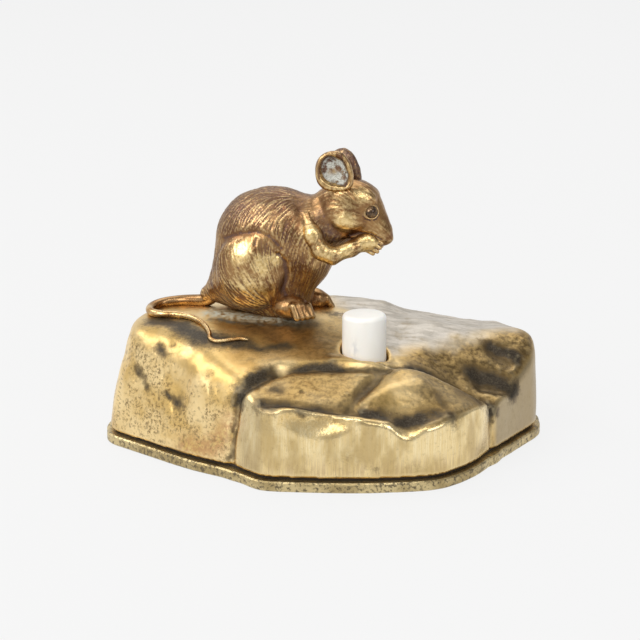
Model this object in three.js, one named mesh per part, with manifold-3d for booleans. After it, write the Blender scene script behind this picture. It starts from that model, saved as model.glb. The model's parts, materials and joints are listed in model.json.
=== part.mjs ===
// Table bell push: a bronze mouse on a hollow cast rock, with a push button in front of it.
// Millimetres, +Z up. The origin is on the table under the middle of the base plate, +X runs to
// the right along the front edge and +Y runs away from the person at the front.

import * as THREE from "three";
import { mergeVertices } from "three/addons/utils/BufferGeometryUtils.js";
import Module from "manifold-3d";

const wasm = await Module();
wasm.setup();

// Base: a brass plate, a fibre sheet on it, and the rock standing on the sheet
const plateThickness = 2.3;
const plateFlange = 0.9; // how far the plate stands out round the foot of the rock
const sheetThickness = 0.7;
const sheetInset = 1.1; // how far the sheet lies back from the foot of the rock
const rockLength = 101; // of its outline at the foot, before the corners are rounded
const rockDepth = 72.4;
const rockWall = 3.2;
const perchHeight = 26.6; // flat top of the rock, where the mouse sits, above the rock's foot

// Clearances
const castingGap = 0.3; // between castings that are fitted to each other
const shankClearance = 0.2; // round a screw or stud, in its hole
const seatGap = 0.1; // under a moving part at rest
const shortestEdge = 0.004; // points closer than this are drawn together

// Screws that hold the plate: countersunk, into bosses inside the rock
const screwShank = 2.6;
const screwHead = 5.2;
const screwLength = 10;
const headRecess = 0.3; // head below the plate's underside
const slotWidth = 0.7;
const slotDepth = 0.6;
const bossDiameter = 7;
const bossPlaces = [[-34, 2], [8, -24], [37, 18], [-24, 26]];

// Push button and the collar under the rock's skin that guides it
const buttonX = 10;
const buttonY = -7;
const buttonDiameter = 10;
const buttonProud = 9.1; // above the rock, on the button's axis
const buttonEdge = 1.1; // rounding of its top edge
const buttonCrown = 0.35; // rise of its top from that edge to the middle
const buttonTravel = 2;
const holeClearance = 0.45;
const collarDiameter = 18;
const collarDepth = 6.5;
const flangeDiameter = 13.5;
const flangeThickness = 1.6;
const nubDiameter = 4.4;
const nubHeight = 1;
const nubFlat = 1.3; // radius where the nub's rounded end begins
const nubEnd = 0.3; // height of that end

// Contacts under the button, on an insulating block
const blockWidth = 14;
const blockMargin = 1.2; // block beyond the contacts, at both ends
const leafReach = 13; // from the leaf's bend to the button's axis
const leafLead = 0.6; // the leaf turns as if its reach were shorter by this, and stays clear of the nub
const leafWidth = 7;
const leafThickness = 0.5;
const leafOverhang = 4; // leaf beyond the button's axis
const leafPad = 3.5; // flat of the leaf short of the button's axis
const tabLength = 7.5;
const stripThickness = 0.6;
const stripTip = 3; // flat of the strip under the leaf
const stripRamp = 4;
const stripLift = 1; // tip of the strip above the block
const contactGap = 0.2; // between leaf and strip with the button pressed
const terminalShank = 2.4;
const terminalHead = 4.6;
const terminalHeadHeight = 1.8;
const terminalFloor = 2.5; // block left under the terminal screws
const washerThickness = 0.6;
const terminalWasher = 5.6;
const blockScrewCover = 2.7; // block left over its own screws

// Studs that hold the mouse, with their nuts against pads under the rock's skin
const studDiameter = 3;
const studInMouse = 6;
const studBeyondNut = 1.2;
const studPlaces = [-5, 4.5]; // along the mouse, from its standing point
const padDiameter = 8.5;
const padDepth = 6;
const studWasher = 7;
const nutAcross = 6;
const nutHeight = 2.4;

// Ring in the rear wall for a twisted pair of leads
const bushX = 12;
const bushHeight = 6.5;
const bushBore = 3.8;
const bushBody = 6.6;
const bushFlange = 10;
const bushFlangeThickness = 1.2;
const bushInside = 1.5; // beyond the inner face of the wall

// Where the mouse sits, and how far it is turned towards the front
const mouseX = -10.2;
const mouseY = 11.5;
const mouseTurn = THREE.MathUtils.degToRad(12);
const mouseSink = 0.4; // the mouse's own zero height, below the rock's flat top
const eyeRadius = 1.6;
const earHalfWidth = 3.5;
const earHalfHeight = 4.2;
const earDepth = 1.5;
const earWall = 1.1;
const earRim = 0.75;
const tailRoot = 1.5;
const tailTip = 0.55;

const rockFoot = plateThickness + sheetThickness;

// Outlines of the rock's foot, counterclockwise: x, y and the lean of the wall that starts there
const mainOutline = [
  [-49, 1, 0.23], [-27, -19, 0.2], [-17, -24.6, 0.05], [38.8, -13.4, 0.03], [51, 6.5, 0.05],
  [51, 16, 0.1], [37, 35, 0.14], [-16, 40, 0.18], [-41, 29, 0.2], [-50, 9, 0.24],
];
const lobeOutline = [
  [-19.6, -23, 0.12], [-13, -30.8, 0.08], [-3, -32.4, 0.05], [15, -32.4, 0.05],
  [26, -30.2, 0.06], [34, -22.6, 0.05], [39.2, -12, 0.05], [30, -2, 0], [-12, -12, 0.1],
];

// Dents (negative) and ridges on the rock's top: height, from, to, half width
const strokes = [
  [0.9, [9.5, -25.5], [22, -19.5], 2.7],
  [-1.1, [7, -26.5], [13, -17], 1.7],
  [-1.3, [-17, -22], [-9, -15.5], 1.6],
  [-1, [-9, -15.5], [15, -14.8], 1.4],
  [-0.9, [15, -13.8], [24, -12], 1.6],
  [-0.6, [19.2, -31.5], [19.4, -28], 2.4],
  [1.7, [-7, -31.4], [14.5, -31.8], 2.5],
  [0.8, [6, -32], [15, -32], 2.5],
  [1.6, [23.5, -30.6], [28, -28.6], 2.3],
  [1.7, [4, 22], [14, 21], 5],
  [-1, [39.5, 3.5], [43.5, 1.5], 1.8],
  [-2.2, [37, -5], [45, -4.5], 2.4],
];

// Ways of blending distances

const smoothMin = (a, b, k) => Math.min(a, b) - Math.max(k - Math.abs(a - b), 0) ** 2 / (4 * k);
const smoothMax = (a, b, k) => -smoothMin(-a, -b, k);
const ease = (t) => THREE.MathUtils.smoothstep(t, 0, 1);

function ellipsoid(p, centre, radii, pitch = 0) {
  const x = p[0] - centre[0];
  const z = p[2] - centre[2];
  const c = Math.cos(pitch);
  const s = Math.sin(pitch);
  const q = [x * c - z * s, p[1] - centre[1], x * s + z * c];
  const near = Math.hypot(q[0] / radii[0], q[1] / radii[1], q[2] / radii[2]);
  const steep = Math.hypot(q[0] / radii[0] ** 2, q[1] / radii[1] ** 2, q[2] / radii[2] ** 2);
  return (near * (near - 1)) / Math.max(steep, 1e-6);
}

function roundCone(p, a, b, radiusA, radiusB) {
  const ab = [b[0] - a[0], b[1] - a[1], b[2] - a[2]];
  const ap = [p[0] - a[0], p[1] - a[1], p[2] - a[2]];
  const along = (ap[0] * ab[0] + ap[1] * ab[1] + ap[2] * ab[2]) / (ab[0] ** 2 + ab[1] ** 2 + ab[2] ** 2);
  const t = THREE.MathUtils.clamp(along, 0, 1);
  const away = Math.hypot(ap[0] - ab[0] * t, ap[1] - ab[1] * t, ap[2] - ab[2] * t);
  return away - THREE.MathUtils.lerp(radiusA, radiusB, t);
}

// Solids: a closed geometry goes in, a solid comes out that can be joined and cut

function toSolid(geometry) {
  const bare = geometry.clone();
  bare.deleteAttribute("normal");
  bare.deleteAttribute("uv");
  const merged = mergeVertices(bare, 1e-4);
  const index = merged.index.array;
  const kept = [];
  for (let i = 0; i < index.length; i += 3) {
    const [a, b, c] = [index[i], index[i + 1], index[i + 2]];
    if (a !== b && b !== c && c !== a) kept.push(a, b, c);
  }
  const vertProperties = new Float32Array(merged.attributes.position.array);
  return new wasm.Manifold(new wasm.Mesh({ numProp: 3, vertProperties, triVerts: new Uint32Array(kept) }));
}

// The solid's surface again, with points that all but meet drawn together and empty folds dropped
function toGeometry(solid) {
  const { vertProperties, triVerts } = solid.getMesh();
  const point = (i) => new THREE.Vector3().fromArray(vertProperties, 3 * i);
  const standsFor = Array.from({ length: vertProperties.length / 3 }, (_, i) => i);
  const find = (i) => (standsFor[i] === i ? i : find(standsFor[i]));
  const firstAt = new Map();
  standsFor.forEach((_, i) => {
    const place = point(i).divideScalar(shortestEdge).round().toArray().join();
    if (firstAt.has(place)) standsFor[i] = firstAt.get(place);
    else firstAt.set(place, i);
  });
  for (let i = 0; i < triVerts.length; i++) {
    const next = i % 3 === 2 ? i - 2 : i + 1;
    const [a, b] = [find(triVerts[i]), find(triVerts[next])];
    if (a !== b && point(a).distanceTo(point(b)) < shortestEdge) standsFor[b] = a;
  }
  const faces = new Map();
  for (let i = 0; i < triVerts.length; i += 3) {
    const face = [find(triVerts[i]), find(triVerts[i + 1]), find(triVerts[i + 2])];
    if (new Set(face).size < 3) continue;
    const key = [...face].sort((a, b) => a - b).join();
    if (faces.has(key)) faces.delete(key);
    else faces.set(key, face);
  }
  const geometry = new THREE.BufferGeometry();
  geometry.setAttribute("position", new THREE.BufferAttribute(new Float32Array(vertProperties), 3));
  geometry.setIndex([...faces.values()].flat());
  geometry.computeVertexNormals();
  return geometry;
}

const cut = (solid, ...cutters) => cutters.reduce((rest, cutter) => rest.subtract(cutter), solid);
const join = (solid, ...others) => others.reduce((whole, other) => whole.add(other), solid);

// An upright bar of round section, with its lower end at z
function bar(diameter, length, x, y, z, sides = 12) {
  const geometry = new THREE.CylinderGeometry(diameter / 2, diameter / 2, length, sides);
  return toSolid(geometry.rotateX(Math.PI / 2).translate(x, y, z + length / 2));
}

// A turned piece from its half section, [radius, z] from bottom to top
function turned(section, sides) {
  const points = section.map(([radius, z]) => new THREE.Vector2(radius, z));
  return new THREE.LatheGeometry(points, sides).rotateX(Math.PI / 2);
}

// A strip of sheet metal from its side view in X and Z, centred on Y
function strip(sideView, width) {
  const shape = new THREE.Shape(sideView.map(([x, z]) => new THREE.Vector2(x, z)));
  const geometry = new THREE.ExtrudeGeometry(shape, { depth: width, bevelEnabled: false });
  return toSolid(geometry.rotateX(Math.PI / 2).translate(0, width / 2, 0));
}

function ring(outer, bore, thickness, x, y, z, sides = 16) {
  return cut(bar(outer, thickness, x, y, z, sides), bar(bore, thickness + 2, x, y, z - 1, sides));
}

// Where the corners of a grid square alternate in and out, four quads would meet on one edge of the
// net, so the shallower of the two corners inside is put just outside
function settleCorners(value, count, at, justOutside) {
  const aroundSquare = [[0, 0], [1, 0], [1, 1], [0, 1]];
  let settled = false;
  while (!settled) {
    settled = true;
    for (const [axis, u, v] of [[0, 1, 2], [1, 2, 0], [2, 0, 1]]) {
      const cell = [0, 0, 0];
      for (cell[axis] = 0; cell[axis] < count[axis]; cell[axis]++) {
        for (cell[u] = 0; cell[u] < count[u] - 1; cell[u]++) {
          for (cell[v] = 0; cell[v] < count[v] - 1; cell[v]++) {
            const square = aroundSquare.map(([du, dv]) => {
              const corner = [...cell];
              corner[u] += du;
              corner[v] += dv;
              return at(...corner);
            });
            const [a, b, c, d] = square.map((corner) => value[corner] < 0);
            if (a !== c || b !== d || a === b) continue;
            const [first, second] = square.filter((corner) => value[corner] < 0);
            value[value[first] > value[second] ? first : second] = justOutside;
            settled = false;
          }
        }
      }
    }
  }
}

// The surface where a distance field is zero, as a net of quads over a grid of cells
function castSurface(field, low, high, step) {
  const count = [0, 1, 2].map((axis) => Math.ceil((high[axis] - low[axis]) / step) + 1);
  const at = (i, j, k) => (k * count[1] + j) * count[0] + i;
  const value = new Float32Array(count[0] * count[1] * count[2]);
  for (let k = 0; k < count[2]; k++) {
    for (let j = 0; j < count[1]; j++) {
      for (let i = 0; i < count[0]; i++) {
        value[at(i, j, k)] = field([low[0] + i * step, low[1] + j * step, low[2] + k * step]);
      }
    }
  }
  settleCorners(value, count, at, step / 100);
  const positions = [];
  const vertexOf = new Map();
  const corners = [[0, 0, 0], [1, 0, 0], [0, 1, 0], [1, 1, 0], [0, 0, 1], [1, 0, 1], [0, 1, 1], [1, 1, 1]];
  const edges = [
    [0, 1], [2, 3], [4, 5], [6, 7], [0, 2], [1, 3], [4, 6], [5, 7], [0, 4], [1, 5], [2, 6], [3, 7],
  ];
  const vertexIn = (cell) => {
    const key = at(...cell);
    if (!vertexOf.has(key)) {
      const sum = [0, 0, 0];
      let crossings = 0;
      for (const [a, b] of edges) {
        const cornerA = corners[a].map((offset, axis) => cell[axis] + offset);
        const cornerB = corners[b].map((offset, axis) => cell[axis] + offset);
        const valueA = value[at(...cornerA)];
        const valueB = value[at(...cornerB)];
        if (valueA < 0 === valueB < 0) continue;
        const t = valueA / (valueA - valueB);
        for (let axis = 0; axis < 3; axis++) {
          sum[axis] += THREE.MathUtils.lerp(cornerA[axis], cornerB[axis], t);
        }
        crossings += 1;
      }
      vertexOf.set(key, positions.length / 3);
      positions.push(...sum.map((total, axis) => low[axis] + (step * total) / crossings));
    }
    return vertexOf.get(key);
  };
  const index = [];
  for (let axis = 0; axis < 3; axis++) {
    const u = (axis + 1) % 3;
    const v = (axis + 2) % 3;
    const cell = [0, 0, 0];
    for (cell[axis] = 0; cell[axis] < count[axis] - 1; cell[axis]++) {
      for (cell[u] = 1; cell[u] < count[u] - 1; cell[u]++) {
        for (cell[v] = 1; cell[v] < count[v] - 1; cell[v]++) {
          const next = [...cell];
          next[axis] += 1;
          const inside = value[at(...cell)] < 0;
          if (inside === value[at(...next)] < 0) continue;
          const around = [[1, 1], [0, 1], [0, 0], [1, 0]].map(([du, dv]) => {
            const neighbour = [...cell];
            neighbour[u] -= du;
            neighbour[v] -= dv;
            return vertexIn(neighbour);
          });
          const [a, b, c, d] = inside ? around : around.reverse();
          index.push(a, b, c, a, c, d);
        }
      }
    }
  }
  const geometry = new THREE.BufferGeometry();
  geometry.setAttribute("position", new THREE.Float32BufferAttribute(positions, 3));
  geometry.setIndex(index);
  return geometry;
}

// The rock, in its own frame with z = 0 at its foot

const rockMiddle = [2, 2];
const wallBulge = 16; // how much more upright a leaning wall is at its foot than at its top
const bulgeHeight = 26; // the height up to which it bulges
const footBridge = 2.5; // rounding of the plate's outline where the rock's two parts meet
const rockSpokes = 96;
const rockRings = 24;
const sightDepth = 25; // the point below the foot that the rings of the surface are aimed from
const farAway = 150;

// The outlines and the top are drawn at one size, and stretched to the rock's length and depth
function drawnSpan(axis) {
  const places = [...mainOutline, ...lobeOutline].map((corner) => corner[axis]);
  return Math.max(...places) - Math.min(...places);
}
const stretchX = rockLength / drawnSpan(0);
const stretchY = rockDepth / drawnSpan(1);

function wallDistance(x, y, z, outline, rounding) {
  let distance = -Infinity;
  const share = THREE.MathUtils.clamp(z / bulgeHeight, 0, 1);
  const rise = z - wallBulge * share * (1 - share);
  outline.forEach(([ax, ay, lean], i) => {
    const [bx, by] = outline[(i + 1) % outline.length];
    const length = Math.hypot(bx - ax, by - ay);
    const out = ((x - ax) * (by - ay) - (y - ay) * (bx - ax)) / length;
    const leaning = (out + lean * rise) / Math.hypot(1, lean);
    distance = i === 0 ? leaning : smoothMax(distance, leaning, rounding);
  });
  return distance;
}

function drawnOutside(x, y, z, groove) {
  const main = wallDistance(x, y, z, mainOutline, 1.8);
  const lobe = wallDistance(x, y, z, lobeOutline, 2.2);
  return smoothMin(main, lobe, groove);
}

function strokeAt(x, y, from, to, halfWidth) {
  const dx = to[0] - from[0];
  const dy = to[1] - from[1];
  const along = ((x - from[0]) * dx + (y - from[1]) * dy) / (dx * dx + dy * dy);
  const t = THREE.MathUtils.clamp(along, 0, 1);
  const away = Math.hypot(x - from[0] - dx * t, y - from[1] - dy * t);
  return Math.exp(-((away / halfWidth) ** 2));
}

// Height of the rock's top above its foot: planes that fall away from the perch, and strokes
function drawnTop(x, y) {
  const steepening = 0.24 + 0.36 * ease((x - 18) / 14);
  const overLobe = 2.5 * Math.max(-12.6 - y, 0);
  const overMain = 2.5 * Math.max(y + 11.8, 0);
  const rightFall = 0.15 * Math.min(x - 4, 34) + 0.05 * Math.max(x - 38, 0);
  const planes = [
    [perchHeight + 0.3 + 0.13 * (x + 28), 3],
    [perchHeight - rightFall - 0.1 * (y - 14) - 0.32 * Math.max(y - 22, 0), 3],
    [perchHeight + 0.315 * (y - 5), 4],
    [perchHeight - 4.7 - steepening * (0.4 * (x - 18) - y) + 0.15 * Math.max(18 - x, 0) + overLobe, 2.5],
    [perchHeight - 0.3 * (y - 21), 3],
    [perchHeight - 6.4 + (0.4 + 0.014 * THREE.MathUtils.clamp(x + 5, 0, 40)) * (y + 17), 1.2],
    [perchHeight - 8.3 - 0.42 * (x - 22) + 0.33 * (y + 19) + overMain, 1.6],
    [perchHeight - 10.9 - 0.68 * (x - 31.3) + 0.1 * (y + 15) + overMain, 1.5],
  ];
  const height = planes.reduce((lowest, [plane, k]) => smoothMin(lowest, plane, k), perchHeight);
  return strokes.reduce((sum, [rise, ...line]) => sum + rise * strokeAt(x, y, ...line), height);
}

function drawnField(x, y, z) {
  const leftRounding = 4.6 * ease((-12 - x) / 14) * (1 - 0.65 * ease(y / 6));
  const frontRounding = 0.9 * ease((-22 - y) / 4);
  const rightRounding = 2.2 * ease((x - 41) / 5);
  const rearRounding = 1.5 * ease((y - 10) / 10);
  const rounding = 0.9 + leftRounding + frontRounding + rightRounding + rearRounding;
  const slope = 0.93;
  const body = smoothMax(drawnOutside(x, y, z, 1), slope * (z - drawnTop(x, y)), rounding);
  const scallop = ellipsoid([x, y, z], [-1.5, -35.9, 11.4], [14, 5.3, 5.4]);
  return smoothMax(body, -scallop, 0.7);
}

const rockOutside = (x, y, z, groove) => drawnOutside(x / stretchX, y / stretchY, z, groove);
const rockTop = (x, y) => drawnTop(x / stretchX, y / stretchY);
const rockField = (x, y, z) => drawnField(x / stretchX, y / stretchY, z);

// Distance along a line from inside a field to where it reaches a level
function reach(field, level, origin, direction, start) {
  let inside = start;
  let outside = farAway;
  while (outside - inside > 1e-4) {
    const middle = (inside + outside) / 2;
    const value = field(
      origin[0] + direction[0] * middle,
      origin[1] + direction[1] * middle,
      origin[2] + direction[2] * middle,
    );
    if (value < level) inside = middle;
    else outside = middle;
  }
  return inside;
}

// A dome wrapped on the rock's surface, moved out by level; its floor lies at z = floor
function wrapRock(level, spokes, rings, floor) {
  const quarter = Math.PI / 2;
  const section = [[0, 0]];
  for (let j = 0; j < rings; j++) {
    const angle = (j / rings) * quarter;
    section.push([Math.cos(angle), Math.sin(angle)]);
  }
  const dome = turned([...section, [0, 1]], spokes);
  const position = dome.attributes.position;
  for (let i = 0; i < position.count; i++) {
    const [x, y, z] = [position.getX(i), position.getY(i), position.getZ(i)];
    const radius = Math.hypot(x, y);
    const out = radius > 1e-6 ? [x / radius, y / radius] : [0, 0];
    if (z < 1e-6) {
      const far = radius > 1e-6 ? reach(rockField, level, [...rockMiddle, 0], [...out, 0], 0) : 0;
      position.setXYZ(i, rockMiddle[0] + out[0] * far, rockMiddle[1] + out[1] * far, floor);
      continue;
    }
    const footReach = radius > 1e-6 ? reach(rockField, level, [...rockMiddle, 0], [...out, 0], 0) : 1;
    const lowest = Math.atan2(sightDepth, footReach);
    const up = THREE.MathUtils.lerp(lowest, quarter, Math.atan2(z, radius) / quarter);
    const aim = [out[0] * Math.cos(up), out[1] * Math.cos(up), Math.sin(up)];
    const far = reach(rockField, level, [...rockMiddle, -sightDepth], aim, sightDepth / Math.sin(up));
    const across = [rockMiddle[0] + aim[0] * far, rockMiddle[1] + aim[1] * far];
    position.setXYZ(i, ...across, aim[2] * far - sightDepth);
  }
  return toSolid(dome);
}

// A flat outline that follows the rock's foot, moved out by level
function footOutline(level) {
  const bridged = (x, y, z) => rockOutside(x, y, z, footBridge);
  const points = Array.from({ length: rockSpokes }, (_, i) => {
    const angle = (i / rockSpokes) * 2 * Math.PI;
    const out = [Math.cos(angle), Math.sin(angle)];
    const far = reach(bridged, level, [...rockMiddle, 0], [...out, 0], 0);
    return new THREE.Vector2(rockMiddle[0] + out[0] * far, rockMiddle[1] + out[1] * far);
  });
  return new THREE.Shape(points);
}

function sheetSolid(level, thickness, z) {
  const geometry = new THREE.ExtrudeGeometry(footOutline(level), { depth: thickness, bevelEnabled: false });
  return toSolid(geometry.translate(0, 0, z));
}

// Finishes

function finish(color, roughness, metalness) {
  return new THREE.MeshStandardMaterial({ color, roughness, metalness });
}
const rockBrass = finish(0xb08c4a, 0.35, 1);
const plateBrass = finish(0xc2a468, 0.38, 1);
const mouseBronze = finish(0x8f5c30, 0.36, 1);
const fibre = finish(0x2b2119, 0.85, 0);
const ivory = finish(0xf2efe6, 0.4, 0);
const darkGlass = finish(0x2a2018, 0.12, 0);
const screwBrass = finish(0xb89a58, 0.4, 1);
const springBrass = finish(0xc8ac62, 0.32, 1);
const blockWood = finish(0x5a2f1c, 0.55, 0);
const hardRubber = finish(0x1c1a19, 0.5, 0);

function piece(name, solid, material) {
  const mesh = new THREE.Mesh(toGeometry(solid), material);
  mesh.name = name;
  return mesh;
}

// Frames: the rock stands on the sheet, the contacts are under the button, the mouse is turned

const rockFrame = new THREE.Group();
rockFrame.position.z = rockFoot;

const contactFrame = new THREE.Group();
contactFrame.position.set(buttonX, buttonY, rockFoot);

const mouseFrame = new THREE.Group();
mouseFrame.position.set(mouseX, mouseY, rockFoot + perchHeight - mouseSink);
mouseFrame.rotation.z = -mouseTurn;

for (const frame of [rockFrame, contactFrame, mouseFrame]) frame.updateMatrixWorld();
const mouseToRock = rockFrame.matrixWorld.clone().invert().multiply(mouseFrame.matrixWorld);
const studsInRock = studPlaces.map((x) => new THREE.Vector3(x, 0, 0).applyMatrix4(mouseToRock));

// Heights that the button and its contacts share, above the rock's foot

const holeTop = rockTop(buttonX, buttonY);
const collarBottom = holeTop - collarDepth;
const flangeTop = collarBottom - seatGap;
const nubBottom = flangeTop - flangeThickness - nubHeight;
const padTop = nubBottom - seatGap;
const padBottom = padTop - leafThickness;
const padFall = (buttonTravel * (leafReach + leafOverhang)) / (leafReach - leafLead);
const tipTop = padBottom - padFall - contactGap;
const blockHeight = tipTop - stripThickness - stripLift;
const terminalDepth = blockHeight - terminalFloor;
const bendX = -leafReach;
const stripTabX = leafOverhang + stripRamp;
const blockFrom = bendX - tabLength - blockMargin;
const blockTo = stripTabX + tabLength + blockMargin;
const leafTerminalX = bendX - tabLength / 2;
const stripTerminalX = stripTabX + tabLength / 2;
const blockScrewPlaces = [bendX + 4, stripTabX - 3];
const nutSeat = perchHeight - padDepth;

// Base plate, fibre sheet and their screws

const blockScrewPoints = blockScrewPlaces.map((x) => [buttonX + x, buttonY]);
const allScrewPoints = [...bossPlaces, ...blockScrewPoints];
const coneDepth = (screwHead - screwShank) / 2;
const lift = rockFoot - headRecess; // from the underside of a screw's head to the rock's foot
const blockScrewLength = lift + blockHeight - blockScrewCover;

function countersunkScrew(length) {
  const head = screwHead / 2;
  const shank = screwShank / 2;
  const section = [
    [0, 0], [head, 0], [shank, coneDepth],
    [shank, length - shank / 2], [shank / 2, length], [0, length],
  ];
  const slot = new THREE.BoxGeometry(screwHead + 1, slotWidth, 2 * slotDepth);
  return cut(toSolid(turned(section, 12)), toSolid(slot));
}

function countersink(x, y) {
  const head = screwHead / 2 + shankClearance;
  const shank = screwShank / 2 + shankClearance;
  const top = plateThickness + 1;
  const section = [
    [0, -1], [head, -1], [head, headRecess],
    [shank, headRecess + coneDepth], [shank, top], [0, top],
  ];
  return toSolid(turned(section, 12).translate(x, y, 0));
}

const countersinks = allScrewPoints.map(([x, y]) => countersink(x, y));
const plateSolid = cut(sheetSolid(plateFlange, plateThickness, 0), ...countersinks);
const sheetHole = screwShank + 2 * shankClearance;
const fibreSolid = cut(
  sheetSolid(-sheetInset, sheetThickness, plateThickness),
  ...allScrewPoints.map(([x, y]) => bar(sheetHole, sheetThickness + 2, x, y, plateThickness - 1)),
);

const baseFrame = new THREE.Group();
baseFrame.add(piece("base_plate", plateSolid, plateBrass));
baseFrame.add(piece("insulating_sheet", fibreSolid, fibre));
bossPlaces.forEach(([x, y], i) => {
  const screw = piece(`base_screw_${i + 1}`, countersunkScrew(screwLength), screwBrass);
  screw.position.set(x, y, headRecess);
  baseFrame.add(screw);
});
blockScrewPoints.forEach(([x, y], i) => {
  const screw = piece(`block_screw_${i + 1}`, countersunkScrew(blockScrewLength), screwBrass);
  screw.position.set(x, y, headRecess);
  baseFrame.add(screw);
});

// Rock shell: hollow, with screw bosses, stud pads, the button's collar and the cord hole

const rockSolid = wrapRock(0, rockSpokes, rockRings, 0);
const hollow = wrapRock(-rockWall, rockSpokes / 2, rockRings / 2, -1);
const bossHole = screwShank + 2 * shankClearance;
const studHole = studDiameter + 2 * shankClearance;
const tall = perchHeight + 10;
const collarHeight = tall - collarBottom;
const bosses = bossPlaces.map(([x, y]) => bar(bossDiameter, tall, x, y, 0, 16).intersect(rockSolid));
const bossHoles = bossPlaces.map(([x, y]) => bar(bossHole, screwLength - lift + 2, x, y, -1));
const padHeight = tall - nutSeat;
const padBars = studsInRock.map(({ x, y }) => bar(padDiameter, padHeight, x, y, nutSeat, 16));
const pads = padBars.map((padBar) => padBar.intersect(rockSolid));
const studHoles = studsInRock.map(({ x, y }) => bar(studHole, tall, x, y, 0));
const collar = bar(collarDiameter, collarHeight, buttonX, buttonY, collarBottom, 24).intersect(rockSolid);
const buttonHole = bar(buttonDiameter + 2 * holeClearance, tall, buttonX, buttonY, 0, 24);

const rearReach = reach(rockField, 0, [bushX, rockMiddle[1], bushHeight], [0, 1, 0], 0);
const bushSeat = rockMiddle[1] + rearReach - bushFlangeThickness;
const bushLength = bushSeat - (rockMiddle[1] + rearReach - rockWall - bushInside);
function alongY(diameter, length, y, sides) {
  const geometry = new THREE.CylinderGeometry(diameter / 2, diameter / 2, length, sides);
  return toSolid(geometry.translate(bushX, y + length / 2, bushHeight));
}
const bushHole = alongY(bushBody + 2 * shankClearance, 2 * bushLength, bushSeat - bushLength - 1, 16);
const bushRecess = alongY(bushFlange + 2 * shankClearance, farAway, bushSeat, 16);

const shell = cut(
  join(cut(rockSolid, hollow), ...bosses, ...pads, collar),
  ...bossHoles, ...studHoles, buttonHole, bushHole, bushRecess,
);
rockFrame.add(piece("rock_shell", shell, rockBrass));

const bush = cut(
  join(
    alongY(bushBody, bushLength, bushSeat - bushLength, 16),
    alongY(bushFlange, bushFlangeThickness, bushSeat, 16),
  ),
  alongY(bushBore, 2 * bushLength + 2, bushSeat - bushLength - 1, 16),
);
rockFrame.add(piece("cord_bush", bush, hardRubber));

// Push button: shaft, inner flange against the collar, and a rounded nub on the leaf

function buttonSection() {
  const shaft = buttonDiameter / 2;
  const flange = flangeDiameter / 2;
  const nub = nubDiameter / 2;
  const top = holeTop + buttonProud;
  const flangeBottom = flangeTop - flangeThickness;
  const rounding = [0, 0.5, 1].map((t) => {
    const angle = (t * Math.PI) / 2;
    const shoulder = top - buttonCrown - buttonEdge * (1 - Math.sin(angle));
    return [shaft - buttonEdge * (1 - Math.cos(angle)), shoulder];
  });
  return [
    [0, nubBottom], [nubFlat, nubBottom + nubEnd], [nub, flangeBottom],
    [flange, flangeBottom], [flange, flangeTop], [shaft, flangeTop], ...rounding, [0, top],
  ];
}
contactFrame.add(piece("push_button", toSolid(turned(buttonSection(), 24)), ivory));

// Contact block with the leaf, its clamped tab, the fixed strip and their terminal screws

const leafBottom = blockHeight;
const blockLength = blockTo - blockFrom;
const blockBox = new THREE.BoxGeometry(blockLength, blockWidth, blockHeight);
const terminalHole = terminalShank + 2 * shankClearance;
const terminalPlaces = [leafTerminalX, stripTerminalX];
const blockSolid = cut(
  toSolid(blockBox.translate((blockFrom + blockTo) / 2, 0, blockHeight / 2)),
  ...terminalPlaces.map((x) => bar(terminalHole, terminalDepth + 2, x, 0, blockHeight - terminalDepth - 1)),
  ...blockScrewPlaces.map((x) => bar(bossHole, blockScrewLength - lift + 2, x, 0, -1)),
);
contactFrame.add(piece("contact_block", blockSolid, blockWood));

const throughTab = (x) => bar(terminalHole, 4, x, 0, blockHeight - 2);
const tabBox = new THREE.BoxGeometry(tabLength - castingGap, leafWidth, leafThickness);
const tabMiddle = [bendX - (tabLength + castingGap) / 2, 0, leafBottom + leafThickness / 2];
const tab = toSolid(tabBox.translate(...tabMiddle));
contactFrame.add(piece("contact_leaf_tab", cut(tab, throughTab(leafTerminalX)), springBrass));

const leafSide = [
  [bendX, leafBottom], [-leafPad, padBottom], [leafOverhang, padBottom],
  [leafOverhang, padTop], [-leafPad - leafThickness / 4, padTop], [bendX, leafBottom + leafThickness],
];
contactFrame.add(piece("contact_leaf", strip(leafSide, leafWidth), springBrass));

const tipFrom = leafOverhang - stripTip;
const stripSide = [
  [tipFrom, tipTop - stripThickness], [leafOverhang, tipTop - stripThickness], [stripTabX, blockHeight],
  [stripTabX + tabLength, blockHeight], [stripTabX + tabLength, blockHeight + stripThickness],
  [stripTabX, blockHeight + stripThickness], [leafOverhang, tipTop], [tipFrom, tipTop],
];
const stripSolid = cut(strip(stripSide, leafWidth), throughTab(stripTerminalX));
contactFrame.add(piece("contact_strip", stripSolid, springBrass));

function terminalScrew(thickness) {
  const shank = terminalShank / 2;
  const head = terminalHead / 2;
  const under = terminalDepth + thickness + washerThickness;
  const top = under + terminalHeadHeight;
  const section = [[0, 0], [shank, 0], [shank, under], [head, under], [head, top], [0, top]];
  const slot = new THREE.BoxGeometry(terminalHead + 1, slotWidth, 2 * slotDepth).translate(0, 0, top);
  return cut(toSolid(turned(section, 12)), toSolid(slot));
}

const terminals = [["leaf", leafTerminalX, leafThickness], ["strip", stripTerminalX, stripThickness]];
terminals.forEach(([name, x, thickness]) => {
  const washer = ring(terminalWasher, terminalHole, washerThickness, x, 0, blockHeight + thickness);
  const screw = piece(`terminal_screw_${name}`, terminalScrew(thickness), screwBrass);
  screw.position.set(x, 0, blockHeight - terminalDepth);
  contactFrame.add(piece(`terminal_washer_${name}`, washer, screwBrass), screw);
});

// Mouse, in its own frame: x forward, y to its left, z = 0 just under the rock's flat top.
// Its body stands on the rock, and its limbs are fitted round the body and to the rock.

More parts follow.
